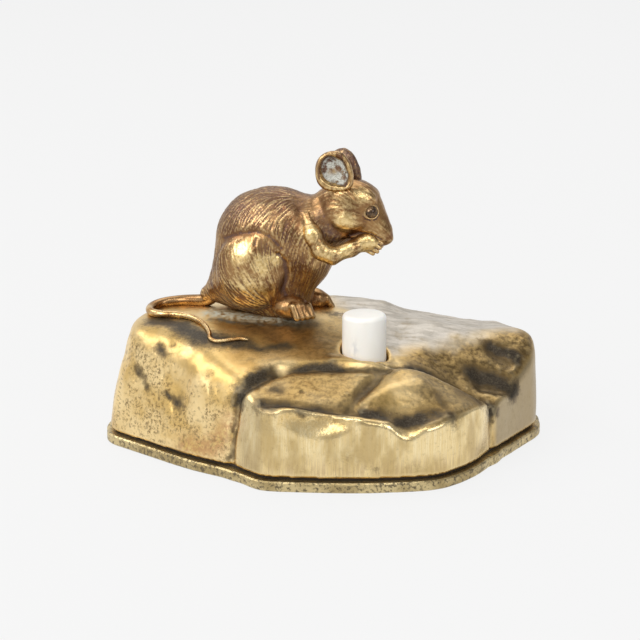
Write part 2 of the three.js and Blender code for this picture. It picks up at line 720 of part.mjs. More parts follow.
const headPitch = THREE.MathUtils.degToRad(39);
const flanks = [["near", -1], ["far", 1]];

function bodyField(p) {
  const mirrored = [p[0], Math.abs(p[1]), p[2]];
  let f = ellipsoid(p, [-2.1, 0, 16.6], [12, 9.2, 12.3]);
  f = smoothMin(f, ellipsoid(p, [1, 0, 18.5], [9.5, 8.6, 11.2]), 2);
  f = smoothMin(f, ellipsoid(p, [-5.2, 0, 7], [10.2, 9.2, 8]), 5);
  f = smoothMin(f, roundCone(p, [-11.5, 0, 5.2], [-16.5, 0, 3], 4.2, 1.9), 3);
  f = smoothMin(f, ellipsoid(p, [5.6, 0, 17.2], [6.8, 7, 8.8]), 4);
  f = smoothMin(f, ellipsoid(p, [1, 0, 5], [7.8, 6.5, 8.5]), 3);
  f = smoothMin(f, ellipsoid(p, [7.2, 0, 12.5], [6.6, 6.2, 7.5]), 3);
  f = smoothMin(f, roundCone(p, [6, 0, 19.4], [13.2, 0, 23.4], 6.2, 5.6), 3);
  f = smoothMin(f, ellipsoid(p, [15.4, 0, 25.4], [8.2, 6.2, 6.7], headPitch), 2);
  f = smoothMin(f, ellipsoid(p, [17.6, 0, 27], [5.4, 5.3, 5.2]), 2);
  f = smoothMin(f, roundCone(p, [18.5, 0, 22.5], [24.3, 0, 18.9], 4.4, 2.2), 1.5);
  f = smoothMin(f, roundCone(p, [20.3, 0, 26.6], [24.5, 0, 20.2], 4.6, 2.9), 1.6);
  f = smoothMin(f, ellipsoid(p, [26.1, 0, 18.5], [1.5, 1.5, 1.35]), 0.8);
  f = smoothMin(f, ellipsoid(mirrored, [17.4, 3.8, 23.5], [3.6, 2.7, 3]), 1.2);
  f = smoothMin(f, ellipsoid(mirrored, [-4.4, 6.7, 11], [8.2, 4.4, 9.3]), 0.9);
  return smoothMin(f, ellipsoid(mirrored, [16.4, 3.6, 29.2], [2.4, 1.6, 1.9]), 1.5);
}

function forelegField(p, side) {
  const q = [p[0], p[1] * side, p[2]];
  let f = ellipsoid(q, [10.1, 5.9, 21], [2.3, 2.3, 5.2]);
  f = smoothMin(f, roundCone(q, [10.6, 6.4, 18.4], [13.6, 6.4, 15.6], 2, 1.9), 1.5);
  f = smoothMin(f, roundCone(q, [13.6, 6.4, 15.6], [18.4, 4.6, 16.9], 1.9, 1.8), 1);
  f = smoothMin(f, roundCone(q, [18.4, 4.6, 16.9], [21, 3, 18], 1.8, 1.9), 1);
  f = smoothMin(f, ellipsoid(q, [21.9, 2.6, 18.1], [2.8, 1.9, 2.2]), 0.8);
  return smoothMin(f, ellipsoid(q, [23.4, 2.7, 16.9], [1.7, 1.2, 1.3]), 0.8);
}

function hindFootField(p, side, ahead) {
  const q = [p[0] - ahead, p[1] * side, p[2]];
  let f = ellipsoid(q, [4.8, 5.9, 2.7], [4.6, 2.8, 2.9]);
  for (const spread of [-1.6, 0, 1.6]) {
    const knuckle = [6.8, 5.9 + 0.85 * spread, 3];
    const tip = [9.3 - Math.abs(spread) / 2, 5.9 + 1.05 * spread, 1.7];
    f = smoothMin(f, roundCone(q, knuckle, tip, 1.4, 1.15), 0.5);
  }
  return f;
}

// A cupped ear: a turned bowl with a thick rim, drawn out to an oval and set on the head
function earBowl(width, height, centre, facing, upward) {
  const bowl = [];
  const steps = 4;
  for (let i = 0; i <= steps; i++) bowl.push([i / steps, earDepth * (i / steps) ** 2 - earWall]);
  bowl.push([1 + earRim / width, earDepth - earWall / 2], [1, earDepth + earRim / 2]);
  for (let i = steps - 1; i >= 0; i--) bowl.push([i / steps, earDepth * (i / steps) ** 2]);
  const geometry = turned(bowl, 18).scale(width, height, 1);
  const normal = new THREE.Vector3(...facing).normalize();
  const up = new THREE.Vector3(...upward).projectOnPlane(normal).normalize();
  const across = new THREE.Vector3().crossVectors(up, normal);
  const turn = new THREE.Matrix4().makeBasis(across, up, normal);
  return toSolid(geometry.applyMatrix4(turn).translate(...centre));
}

// A round tube whose radius changes along a curve, closed at both ends
function taperedTube(curve, radiusAt, steps, around) {
  const frames = curve.computeFrenetFrames(steps);
  const positions = [];
  const index = [];
  for (let i = 0; i <= steps; i++) {
    const middle = curve.getPointAt(i / steps);
    for (let j = 0; j < around; j++) {
      const angle = (j / around) * 2 * Math.PI;
      const out = frames.normals[i].clone().multiplyScalar(Math.cos(angle));
      out.addScaledVector(frames.binormals[i], Math.sin(angle));
      positions.push(...middle.clone().addScaledVector(out, radiusAt(i / steps)).toArray());
    }
  }
  const ends = [curve.getPointAt(0), curve.getPointAt(1)];
  ends.forEach((end) => positions.push(...end.toArray()));
  const first = around * (steps + 1);
  for (let j = 0; j < around; j++) {
    const k = (j + 1) % around;
    for (let i = 0; i < steps; i++) {
      const [a, b, c, d] = [i * around + j, i * around + k, (i + 1) * around + k, (i + 1) * around + j];
      index.push(a, b, c, a, c, d);
    }
    index.push(first, k, j, first + 1, steps * around + j, steps * around + k);
  }
  const geometry = new THREE.BufferGeometry();
  geometry.setAttribute("position", new THREE.Float32BufferAttribute(positions, 3));
  geometry.setIndex(index);
  return toSolid(geometry);
}

// The tail leaves the rump, lies along the rock, turns back on itself and runs out towards the front

// Along and across the mouse, and how far it stands above the rock
const tailPath = [
  [-15.7, 0, 2.4], [-19.4, 0.9, 0.6], [-23.3, 1.4, 0], [-27.1, 0.3, 0], [-29, -2, 0],
  [-29.3, -4.8, 0], [-28, -7.2, 0], [-25.4, -8.2, 0], [-21.8, -8.2, 0], [-18, -9.4, 0],
  [-14.4, -12.4, 0], [-12.1, -16, 0], [-11.2, -18.6, 0], [-9.4, -19.5, 0], [-6.9, -18.5, 0],
  [-4.5, -17.4, 0], [-2.6, -17.4, 0],
];
const tailRadius = (t) => THREE.MathUtils.lerp(tailRoot, tailTip, t);
const tailPoints = tailPath.map(([along, across, above], i) => {
  const radius = tailRadius(i / (tailPath.length - 1));
  const { x, y } = new THREE.Vector3(along, across, 0).applyMatrix4(mouseToRock);
  const top = reach(rockField, 0, [x, y, 0], [0, 0, 1], 0);
  return new THREE.Vector3(x, y, top + radius + castingGap + above);
});
const tailCurve = new THREE.CatmullRomCurve3(tailPoints, false, "centripetal");

const mouseLow = [-20, -13, -6];
const mouseHigh = [30, 13, 36];
const bodyStep = 2;
const limbStep = 0.9;
const fitRounding = 0.8; // where a limb's edge runs out on the body or the rock
const rockSkin = wrapRock(castingGap, rockSpokes, rockRings, 0);
const rockBelow = (p) => rockField(...new THREE.Vector3(...p).applyMatrix4(mouseToRock).toArray());
const seatedBody = (p) => Math.max(bodyField(p), castingGap - rockBelow(p));
const seatedLimb = (limb) => (p) => {
  const offBody = smoothMax(limb(p), castingGap - bodyField(p), fitRounding);
  return smoothMax(offBody, castingGap - rockBelow(p), fitRounding);
};
const bodySolid = toSolid(castSurface(seatedBody, mouseLow, mouseHigh, bodyStep));
const bodyClear = toSolid(castSurface((p) => bodyField(p) - castingGap, mouseLow, mouseHigh, bodyStep));
const eyeCentre = (side) => [22.9, side * 3.2, 25.3];
const ball = (radius, centre) => toSolid(new THREE.SphereGeometry(radius, 12, 8).translate(...centre));
const eyeSockets = flanks.map(([, side]) => ball(eyeRadius + castingGap, eyeCentre(side)));
const studSockets = studPlaces.map((x) => bar(studHole, studInMouse + seatGap + 10, x, 0, mouseSink - 10));

mouseFrame.add(piece("mouse_body", cut(bodySolid, ...eyeSockets, ...studSockets), mouseBronze));

const earSet = {
  near: [[14.9, -4.6, 34], [0.15, -0.98, 0.1], [-0.35, 0, 1]],
  far: [[15.4, 4.4, 32.8], [0.5, 0.82, 0.12], [-0.1, 0.2, 1]],
};
const footAhead = { near: 0, far: 2 };
for (const [name, side] of flanks) {
  const foreleg = seatedLimb((p) => forelegField(p, side));
  const hindFoot = seatedLimb((p) => hindFootField(p, side, footAhead[name]));
  const limbs = { [`mouse_foreleg_${name}`]: foreleg, [`mouse_hind_foot_${name}`]: hindFoot };
  for (const [limbName, field] of Object.entries(limbs)) {
    const limb = toSolid(castSurface(field, mouseLow, mouseHigh, limbStep));
    mouseFrame.add(piece(limbName, limb, mouseBronze));
  }
  const ear = earBowl(earHalfWidth, earHalfHeight, ...earSet[name]);
  mouseFrame.add(piece(`mouse_ear_${name}`, cut(ear, bodyClear), mouseBronze));
  mouseFrame.add(piece(`mouse_eye_${name}`, ball(eyeRadius, eyeCentre(side)), darkGlass));
}

const bodyClearInRock = toSolid(toGeometry(bodyClear).applyMatrix4(mouseToRock));
const tail = cut(taperedTube(tailCurve, tailRadius, 46, 7), rockSkin, bodyClearInRock);
rockFrame.add(piece("mouse_tail", tail, mouseBronze));

// Studs from the mouse through the rock, each with its washer and nut under a pad

const studLength = perchHeight + studInMouse - (nutSeat - washerThickness - nutHeight - studBeyondNut);
studsInRock.forEach(({ x, y }, i) => {
  const name = ["rear", "front"][i];
  const washerZ = nutSeat - washerThickness;
  const nutZ = washerZ - nutHeight;
  const stud = bar(studDiameter, studLength, x, y, nutZ - studBeyondNut);
  const washer = ring(studWasher, studHole, washerThickness, x, y, washerZ);
  const hexagon = bar((nutAcross * 2) / Math.sqrt(3), nutHeight, x, y, nutZ, 6);
  const nut = cut(hexagon, bar(studHole, nutHeight + 2, x, y, nutZ - 1));
  rockFrame.add(piece(`mouse_stud_${name}`, stud, screwBrass));
  rockFrame.add(piece(`stud_washer_${name}`, washer, screwBrass));
  rockFrame.add(piece(`stud_nut_${name}`, nut, screwBrass));
});

// The whole, with the middle of the base plate over the origin

const group = new THREE.Group();
group.add(baseFrame, rockFrame, contactFrame, mouseFrame);
const plateBox = new THREE.Box3().setFromObject(baseFrame);
const plateMiddle = plateBox.getCenter(new THREE.Vector3());
group.position.set(-plateMiddle.x, -plateMiddle.y, 0);

export default group;
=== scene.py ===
import json
import math

import bmesh
import bpy
import numpy as np
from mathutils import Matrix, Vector


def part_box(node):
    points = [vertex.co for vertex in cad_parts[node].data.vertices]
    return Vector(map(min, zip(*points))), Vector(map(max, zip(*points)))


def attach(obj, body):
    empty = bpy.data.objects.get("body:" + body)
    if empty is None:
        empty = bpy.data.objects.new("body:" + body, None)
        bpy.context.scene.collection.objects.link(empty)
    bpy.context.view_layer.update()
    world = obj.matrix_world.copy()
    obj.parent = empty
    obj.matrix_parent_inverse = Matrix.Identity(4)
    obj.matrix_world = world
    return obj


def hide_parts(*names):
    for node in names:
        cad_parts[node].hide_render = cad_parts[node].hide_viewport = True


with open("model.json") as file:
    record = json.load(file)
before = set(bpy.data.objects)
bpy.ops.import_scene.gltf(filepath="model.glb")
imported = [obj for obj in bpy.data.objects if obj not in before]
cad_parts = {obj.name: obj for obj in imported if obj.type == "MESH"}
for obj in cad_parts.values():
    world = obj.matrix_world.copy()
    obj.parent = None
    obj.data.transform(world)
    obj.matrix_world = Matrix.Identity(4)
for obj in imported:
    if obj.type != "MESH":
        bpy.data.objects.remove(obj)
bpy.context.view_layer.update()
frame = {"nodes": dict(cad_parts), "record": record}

mm = 0.001

# Everything below is drawn in millimetres, with the button's axis at this place of the drawing
drawing = {
    "button": (10.0, -7.0),
    "mouse": (-10.2, 11.5),
    "mouseTurn": 12.0,     # degrees, towards the front
    "perch": 26.6,         # flat top of the rock above its foot
    "mouseSink": 0.4,
}
buttonLow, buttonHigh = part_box("push_button")
buttonAxis = (buttonLow + buttonHigh) / (2 * mm)
shift = np.array([buttonAxis.x - drawing["button"][0], buttonAxis.y - drawing["button"][1], 0.0])
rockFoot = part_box("rock_shell")[0].z / mm
turnCos = math.cos(math.radians(drawing["mouseTurn"]))
turnSin = math.sin(math.radians(drawing["mouseTurn"]))
mouseFoot = rockFoot + drawing["perch"] - drawing["mouseSink"]


def toMetres(points):
    return (np.asarray(points, float) + shift) * mm


def mousePlan(x, y):
    # from the mouse's own frame to the drawing
    alongX = drawing["mouse"][0] + x * turnCos + y * turnSin
    alongY = drawing["mouse"][1] - x * turnSin + y * turnCos
    return alongX, alongY


def mouseToDrawing(points):
    x, y, z = np.asarray(points, float).T
    return np.stack([*mousePlan(x, y), mouseFoot + z], 1)


# Distance fields: negative inside

def smoothMin(a, b, k):
    return np.minimum(a, b) - np.maximum(k - np.abs(a - b), 0) ** 2 / (4 * k)


def smoothMax(a, b, k):
    return -smoothMin(-a, -b, k)


def ease(t):
    t = np.clip(t, 0, 1)
    return t * t * (3 - 2 * t)


def egg(p, centre, radii, pitch=0.0):
    x, y, z = (p[i] - centre[i] for i in range(3))
    if pitch:
        c, s = math.cos(math.radians(pitch)), math.sin(math.radians(pitch))
        x, z = x * c - z * s, x * s + z * c
    near = np.sqrt((x / radii[0]) ** 2 + (y / radii[1]) ** 2 + (z / radii[2]) ** 2)
    steep = np.sqrt((x / radii[0] ** 2) ** 2 + (y / radii[1] ** 2) ** 2 + (z / radii[2] ** 2) ** 2)
    return near * (near - 1) / np.maximum(steep, 1e-6)


def limb(p, start, end, startRadius, endRadius):
    line = np.subtract(end, start)
    t = sum((p[i] - start[i]) * line[i] for i in range(3)) / line.dot(line)
    t = np.clip(t, 0, 1)
    away = sum((p[i] - start[i] - t * line[i]) ** 2 for i in range(3))
    return np.sqrt(away) - startRadius - (endRadius - startRadius) * t


def alongLine(points, path, width):
    # 1 on the path, falling to 0 over its width; points and path have as many columns
    nearest = np.full(len(points), 1e9)
    for a, b in zip(path[:-1], path[1:]):
        a, b = np.asarray(a, float), np.asarray(b, float)
        t = np.clip((points - a) @ (b - a) / (b - a).dot(b - a), 0, 1)
        nearest = np.minimum(nearest, ((points - a - t[:, None] * (b - a)) ** 2).sum(1))
    return np.exp(-nearest / width ** 2)


# Meshes from fields

def settleCorners(field):
    # a grid square whose corners alternate in and out would make an edge with four faces
    for attempt in range(8):
        twisted = 0
        for u, v in ((0, 1), (0, 2), (1, 2)):
            corner = {}
            for i, j in ((0, 0), (1, 0), (0, 1), (1, 1)):
                part = [slice(None)] * 3
                part[u] = slice(i, field.shape[u] - 1 + i)
                part[v] = slice(j, field.shape[v] - 1 + j)
                corner[i, j] = field[tuple(part)] < 0
            odd = (corner[0, 0] == corner[1, 1]) & (corner[1, 0] == corner[0, 1])
            odd &= corner[0, 0] != corner[1, 0]
            at = np.argwhere(odd)
            if len(at):
                move = corner[0, 0][odd]
                at[:, u] += move
                field[tuple(at.T)] = -0.01
                twisted += len(at)
        if not twisted:
            return


def castNet(fieldOf, low, high, step):
    low = np.asarray(low, float)
    count = np.ceil((np.asarray(high, float) - low) / step).astype(int) + 1
    x, y, z = (low[i] + step * np.arange(count[i]) for i in range(3))
    field = fieldOf((x[:, None, None], y[None, :, None], z[None, None, :]))
    field = np.array(np.broadcast_to(field, count), np.float32)
    settleCorners(field)
    inside = field < 0
    offsets = [(i, j, k) for i in (0, 1) for j in (0, 1) for k in (0, 1)]
    filled = sum(inside[i:count[0] - 1 + i, j:count[1] - 1 + j, k:count[2] - 1 + k].astype(np.int8)
                 for i, j, k in offsets)
    active = (filled > 0) & (filled < 8)
    cells = np.argwhere(active)
    number = np.full(active.shape, -1, np.int64)
    number[active] = np.arange(len(cells))
    total = np.zeros((len(cells), 3))
    crossings = np.zeros(len(cells))
    for start in offsets:
        for axis in range(3):
            if start[axis]:
                continue
            end = np.array(start)
            end[axis] = 1
            a = field[tuple((cells + start).T)]
            b = field[tuple((cells + end).T)]
            cross = (a < 0) != (b < 0)
            t = np.where(cross, a / np.where(cross, a - b, 1), 0)
            place = np.tile(np.array(start, float), (len(cells), 1))
            place[:, axis] = t
            total += place * cross[:, None]
            crossings += cross
    points = low + step * (cells + total / crossings[:, None])
    quads = []
    for axis in range(3):
        u, v = (axis + 1) % 3, (axis + 2) % 3
        near, far = [slice(None)] * 3, [slice(None)] * 3
        near[axis], far[axis] = slice(0, -1), slice(1, None)
        a, b = inside[tuple(near)], inside[tuple(far)]
        at = np.argwhere(a != b)
        ring = []
        for i, j in ((1, 1), (0, 1), (0, 0), (1, 0)):
            cell = at.copy()
            cell[:, u] -= i
            cell[:, v] -= j
            ring.append(number[tuple(cell.T)])
        ring = np.stack(ring, 1)
        ring[~a[tuple(at.T)]] = ring[~a[tuple(at.T)]][:, ::-1]
        quads.append(ring)
    return points, np.concatenate(quads)


def vertexNormals(points, quads):
    across = np.cross(points[quads[:, 2]] - points[quads[:, 0]], points[quads[:, 3]] - points[quads[:, 1]])
    total = np.zeros_like(points)
    for axis in range(3):
        for corner in range(quads.shape[1]):
            total[:, axis] += np.bincount(quads[:, corner], across[:, axis], len(points))
    return total / np.maximum(np.linalg.norm(total, axis=1), 1e-12)[:, None]


def neighbourMean(values, quads, rounds):
    a, b = quads.ravel(), np.roll(quads, -1, 1).ravel()
    count = (np.bincount(a, minlength=len(values)) + np.bincount(b, minlength=len(values)))[:, None]
    for turn in range(rounds):
        columns = [np.bincount(a, column[b], len(values)) + np.bincount(b, column[a], len(values))
                   for column in values.T]
        values = np.stack(columns, 1) / count
    return values


def hollowness(points, quads, normals, rounds):
    # positive in creases and valleys, negative on edges
    return ((neighbourMean(points, quads, rounds) - points) * normals).sum(1)


lattice = np.random.default_rng(11).uniform(-1, 1, (64, 64, 64)).astype(np.float32)


def noise(points, cell):
    scaled = points / np.asarray(cell, float)
    base = np.floor(scaled).astype(int)
    t = scaled - base
    t = t * t * (3 - 2 * t)
    total = 0
    for i in (0, 1):
        for j in (0, 1):
            for k in (0, 1):
                weight = np.abs(1 - i - t[:, 0]) * np.abs(1 - j - t[:, 1]) * np.abs(1 - k - t[:, 2])
                total = total + weight * lattice[tuple(((base + (i, j, k)) % 64).T)]
    return total


def addObject(name, data):
    made = bpy.data.objects.new(name, data)
    bpy.context.scene.collection.objects.link(made)
    return made


def addAttribute(mesh, name, values):
    layer = mesh.attributes.new(name, "FLOAT", "POINT")
    layer.data.foreach_set("value", np.asarray(values, np.float32))


def meshPiece(name, points, faces, material, attributes):
    mesh = bpy.data.meshes.new(name)
    faces = np.asarray(faces, np.int32)
    mesh.vertices.add(len(points))
    mesh.vertices.foreach_set("co", toMetres(points).astype(np.float32).ravel())
    mesh.loops.add(faces.size)
    mesh.loops.foreach_set("vertex_index", faces.ravel())
    mesh.polygons.add(len(faces))
    mesh.polygons.foreach_set("loop_start", np.arange(0, faces.size, faces.shape[1], dtype=np.int32))
    mesh.update(calc_edges=True)
    mesh.validate()
    for key, values in attributes.items():
        addAttribute(mesh, key, values)
    mesh.shade_smooth()
    mesh.materials.append(material)
    return addObject(name, mesh)


def applyModifiers(piece):
    bpy.context.view_layer.update()
    evaluated = piece.evaluated_get(bpy.context.evaluated_depsgraph_get())
    mesh = bpy.data.meshes.new_from_object(evaluated)
    piece.modifiers.clear()
    piece.data = mesh
    return piece


def seat(piece, body, slot, *nodes):
    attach(piece, body)
    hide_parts(*nodes)


# Material helpers

def newMaterial(name):
    material = bpy.data.materials.new(name)
    material.use_nodes = True
    return material, material.node_tree, material.node_tree.nodes["Principled BSDF"]


def setInputs(tree, node, inputs):
    for key, value in inputs.items():
        if isinstance(value, bpy.types.NodeSocket):
            tree.links.new(value, node.inputs[key])
        else:
            node.inputs[key].default_value = value


def addNode(tree, kind, inputs=None, **settings):
    made = tree.nodes.new(kind)
    for key, value in settings.items():
        setattr(made, key, value)
    setInputs(tree, made, inputs or {})
    return made


def mixColour(tree, factor, a, b):
    # a and b are sockets, or colours of three numbers
    a, b = ((*each, 1) if isinstance(each, tuple) else each for each in (a, b))
    return addNode(tree, "ShaderNodeMix", {0: factor, 6: a, 7: b}, data_type="RGBA").outputs[2]


def mixValue(tree, factor, a, b):
    return addNode(tree, "ShaderNodeMix", {0: factor, 2: a, 3: b}).outputs[0]


def maths(tree, operation, a, b):
    return addNode(tree, "ShaderNodeMath", {0: a, 1: b}, operation=operation).outputs[0]


def times(tree, a, b):
    return maths(tree, "MULTIPLY", a, b)


def plus(tree, a, b):
    return maths(tree, "ADD", a, b)


def larger(tree, a, b):
    return maths(tree, "MAXIMUM", a, b)


def remainder(tree, value):
    return maths(tree, "SUBTRACT", 1.0, value)


def swing(tree, value, strength):
    # noise about zero
    return times(tree, maths(tree, "SUBTRACT", value, 0.5), strength)


def between(tree, value, low, high):
    # 0 below low and 1 above high, smooth between
    inputs = {"Value": value, "From Min": low, "From Max": high}
    return addNode(tree, "ShaderNodeMapRange", inputs, interpolation_type="SMOOTHSTEP").outputs["Result"]


def readAttribute(tree, name):
    return addNode(tree, "ShaderNodeAttribute", attribute_name=name).outputs["Fac"]


def grain(tree, size, detail, stretch=(1, 1, 1), roughness=0.55):
    # noise with patches of this size in millimetres, stretched by these factors
    place = addNode(tree, "ShaderNodeTexCoord").outputs["Object"]
    scale = tuple(1 / (size * mm * s) for s in stretch)
    scaled = addNode(tree, "ShaderNodeMapping", {"Vector": place, "Scale": scale}).outputs["Vector"]
    inputs = {"Vector": scaled, "Scale": 1.0, "Detail": detail, "Roughness": roughness}
    return addNode(tree, "ShaderNodeTexNoise", inputs).outputs["Fac"]


def setBump(tree, shader, height, strength, depth):
    # depth in millimetres
    inputs = {"Height": height, "Strength": strength, "Distance": depth * mm}
    tree.links.new(addNode(tree, "ShaderNodeBump", inputs).outputs["Normal"], shader.inputs["Normal"])


print("drawing frame ready, shift", shift.round(3))

# Rock

rockShape = {
    # x, y, lean of the wall that starts there
    "main": [(-48.5, 1, .23), (-27, -19, .2), (-17, -24.6, .05), (38.8, -13.4, .03), (51, 6.5, .05),
             (51, 16, .1), (37, 35, .14), (-16, 40, .18), (-41, 29, .2), (-49.4, 9, .24)],
    "lobe": [(-19.6, -23, .12), (-13, -30.8, .08), (-3, -32.4, .05), (15, -32.4, .05),
             (26, -30.2, .06), (34, -22.6, .05), (39.2, -12, .05), (30, -2, 0), (-12, -12, .1)],
    "bulge": 16,            # the walls swell by this much of their lean, up to this height
    "bulgeHeight": 26,
    "mainRound": 1.8,
    "lobeRound": 2.2,
    "groove": 1.0,          # rounding where lobe and main part meet
    "plateGroove": 2.5,     # the same on the plate and the sheet
    # rise, path, half width: ridges and valleys of the top
    "strokes": [
        (0.9, [(9.5, -25.5), (22, -19.5)], 2.7),
        (-1.1, [(7, -26.5), (13, -17)], 1.7),
        (-1.3, [(-17, -22), (-9, -15.5)], 1.6),
        (-1.0, [(-9, -15.5), (15, -14.8)], 1.4),
        (-0.9, [(15, -13.8), (24, -12), (36, -12)], 1.5),
        (-0.6, [(19.2, -31.5), (19.4, -28)], 2.4),
        (-1.0, [(39.5, 3.5), (43.5, 1.5)], 1.8),
        (-2.2, [(37, -5), (45, -4.5)], 2.4),
        (1.3, [(-8, -31.2), (-2, -32), (10, -32), (14.5, -31.6)], 2.3),
        (0.8, [(6, -32), (15, -32)], 2.5),
        (1.6, [(23.5, -30.6), (28, -28.6)], 2.3),
        (-0.7, [(-12, -27.2), (-2, -28.3), (10, -28.4)], 1.3),
        (1.7, [(4, 22), (14, 21)], 5.0),
        (0.8, [(3.5, -12.4), (15, -12.4)], 1.9),
    ],
    # path, radius, rounding: upright grooves beside the lobe
    "gouges": [
        ([(-20.3, -23.4, -2), (-18.9, -22.4, 9), (-18.0, -21.4, 15)], 0.55, 1.4),
        ([(39.2, -12.9, -2), (38.8, -12.6, 12)], 0.6, 0.9),
    ],
    # hollow of the front: centre, radii, rounding
    "scallop": ((-1.3, -35.7, 14.1), (13.5, 5.8, 6.1), 0.7),
    "wall": 3.2,
    "bossPlaces": [(-34, 2), (8, -24), (37, 18), (-24, 26)],
    "bossRadius": 3.5,
    "screwHole": 1.5,
    "screwDepth": 9.0,
    "buttonHole": 5.45,
    "holeRound": 0.5,
    "collarRadius": 9.0,
    "collarDepth": 6.5,
    "padRadius": 4.25,
    "padDepth": 6.0,
    "studPlaces": (-5, 4.5),
    "studHole": 1.7,
    "bushHole": 3.5,
    "bushSeat": 5.2,        # the flange's recess in the rear wall
    "bushSeatDepth": 1.2,
    "bushStart": 20,        # the hole runs from this y to the rear
    "bushPlain": 5.6,       # no relief this near the bush, behind rearFrom
    "rearFrom": 25,
    # box and step of the grid
    "low": (-53, -36, -1),
    "high": (54, 43, 30.5),
    "step": 0.5,
    "innerShare": 0.12,     # share of the inner faces that is kept
}


def wallDistance(x, y, z, outline, rounding):
    share = np.clip(z / rockShape["bulgeHeight"], 0, 1)
    bulge = rockShape["bulge"] * share * (1 - share)
    distance = None
    for (ax, ay, lean), (bx, by, _) in zip(outline, outline[1:] + outline[:1]):
        out = ((x - ax) * (by - ay) - (y - ay) * (bx - ax)) / math.hypot(bx - ax, by - ay)
        side = (out + lean * (z - bulge)) / math.hypot(1, lean)
        distance = side if distance is None else smoothMax(distance, side, rounding)
    return distance


def rockOutside(x, y, z, groove):
    main = wallDistance(x, y, z, rockShape["main"], rockShape["mainRound"])
    lobe = wallDistance(x, y, z, rockShape["lobe"], rockShape["lobeRound"])
    return smoothMin(main, lobe, groove)


def planDistance(x, y, path):
    # squared distance to a path of two coordinates
    nearest = 1e9
    for (ax, ay), (bx, by) in zip(path[:-1], path[1:]):
        t = ((x - ax) * (bx - ax) + (y - ay) * (by - ay)) / ((bx - ax) ** 2 + (by - ay) ** 2)
        t = np.clip(t, 0, 1)
        nearest = np.minimum(nearest, (x - ax - t * (bx - ax)) ** 2 + (y - ay - t * (by - ay)) ** 2)
    return nearest


def rockTop(x, y):
    perch = drawing["perch"]
    steepening = 0.24 + 0.36 * ease((x - 18) / 14)
    frontRise = (0.4 + 0.014 * np.clip(x + 5, 0, 40)) * (y + 17)
    lobeLift = 2.5 * np.maximum(-12.6 - y, 0)
    mainLift = 2.5 * np.maximum(y + 11.8, 0)
    rightFall = 0.15 * np.minimum(x - 4, 34) + 0.05 * np.maximum(x - 38, 0)
    planes = [
        (perch + 0.3 + 0.13 * (x + 28), 3),
        (perch - rightFall - 0.1 * (y - 14) - 0.32 * np.maximum(y - 22, 0), 3),
        (perch + 0.315 * (y - 5), 4),
        (perch - 4.7 - steepening * (0.4 * (x - 18) - y) + 0.15 * np.maximum(18 - x, 0) + lobeLift, 2.5),
        (perch - 0.3 * (y - 21), 3),
        (perch - 6.4 + frontRise, 1.2),
        (perch - 8.3 - 0.42 * (x - 22) + 0.33 * (y + 19) + mainLift, 1.6),
        (perch - 10.9 - 0.68 * (x - 31.3) + 0.1 * (y + 15) + mainLift, 1.5),
    ]
    top = perch + 0 * x + 0 * y
    for height, rounding in planes:
        top = smoothMin(top, height, rounding)
    for rise, path, width in rockShape["strokes"]:
        top = top + rise * np.exp(-planDistance(x, y, path) / width ** 2)
    return top


def rockField(p):
    x, y, z = p
    rounding = 0.9 + 0.5 * ease((-22 - y) / 4) + 2.2 * ease((x - 41) / 5)
    leftSoft = 4.6 * ease((-12 - x) / 14) * (1 - 0.65 * ease(y / 6)) * (1 - 0.45 * ease((-35 - x) / 8))
    rounding = rounding + leftSoft + 1.5 * ease((y - 10) / 10)
    body = smoothMax(rockOutside(x, y, z, rockShape["groove"]), 0.93 * (z - rockTop(x, y)), rounding)
    centre, radii, dentRound = rockShape["scallop"]
    body = smoothMax(body, -egg(p, centre, radii), dentRound)
    for path, radius, grooveRound in rockShape["gouges"]:
        for start, end in zip(path[:-1], path[1:]):
            body = smoothMax(body, -limb(p, start, end, radius, radius), grooveRound)
    return body


def pillar(p, place, radius):
    return np.hypot(p[0] - place[0], p[1] - place[1]) - radius


bushLow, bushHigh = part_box("cord_bush")
bushAt = np.array((bushLow + bushHigh) / (2 * mm)) - shift
bushAt[2] -= rockFoot
bushRear = bushHigh.y / mm - shift[1]
studsAt = mouseToDrawing([(place, 0, 0) for place in rockShape["studPlaces"]])[:, :2]
holeTop = float(rockTop(np.array(drawing["button"][0]), np.array(drawing["button"][1])))


def shellField(p):
    x, y, z = p
    outer = rockField(p)
    shell = np.maximum(outer, -(outer + rockShape["wall"]))
    filled = outer + 0.05
    for place in rockShape["bossPlaces"]:
        shell = np.minimum(shell, np.maximum(pillar(p, place, rockShape["bossRadius"]), filled))
    padFoot = drawing["perch"] - rockShape["padDepth"]
    for place in studsAt:
        pad = np.maximum(pillar(p, place, rockShape["padRadius"]), padFoot - z)
        shell = np.minimum(shell, np.maximum(pad, filled))
    collar = pillar(p, drawing["button"], rockShape["collarRadius"])
    collar = np.maximum(collar, holeTop - rockShape["collarDepth"] - z)
    shell = np.minimum(shell, np.maximum(collar, filled))
    for place in rockShape["bossPlaces"]:
        hole = np.maximum(pillar(p, place, rockShape["screwHole"]), z - rockShape["screwDepth"])
        shell = np.maximum(shell, -hole)
    for place in studsAt:
        shell = np.maximum(shell, -pillar(p, place, rockShape["studHole"]))
    buttonHole = pillar(p, drawing["button"], rockShape["buttonHole"])
    shell = smoothMax(shell, -buttonHole, rockShape["holeRound"])
    around = np.hypot(x - bushAt[0], z - bushAt[2])
    shell = np.maximum(shell, -np.maximum(around - rockShape["bushHole"], rockShape["bushStart"] - y))
    seatStart = bushRear - rockShape["bushSeatDepth"]
    shell = np.maximum(shell, -np.maximum(around - rockShape["bushSeat"], seatStart - y))
    return np.maximum(shell, -z)


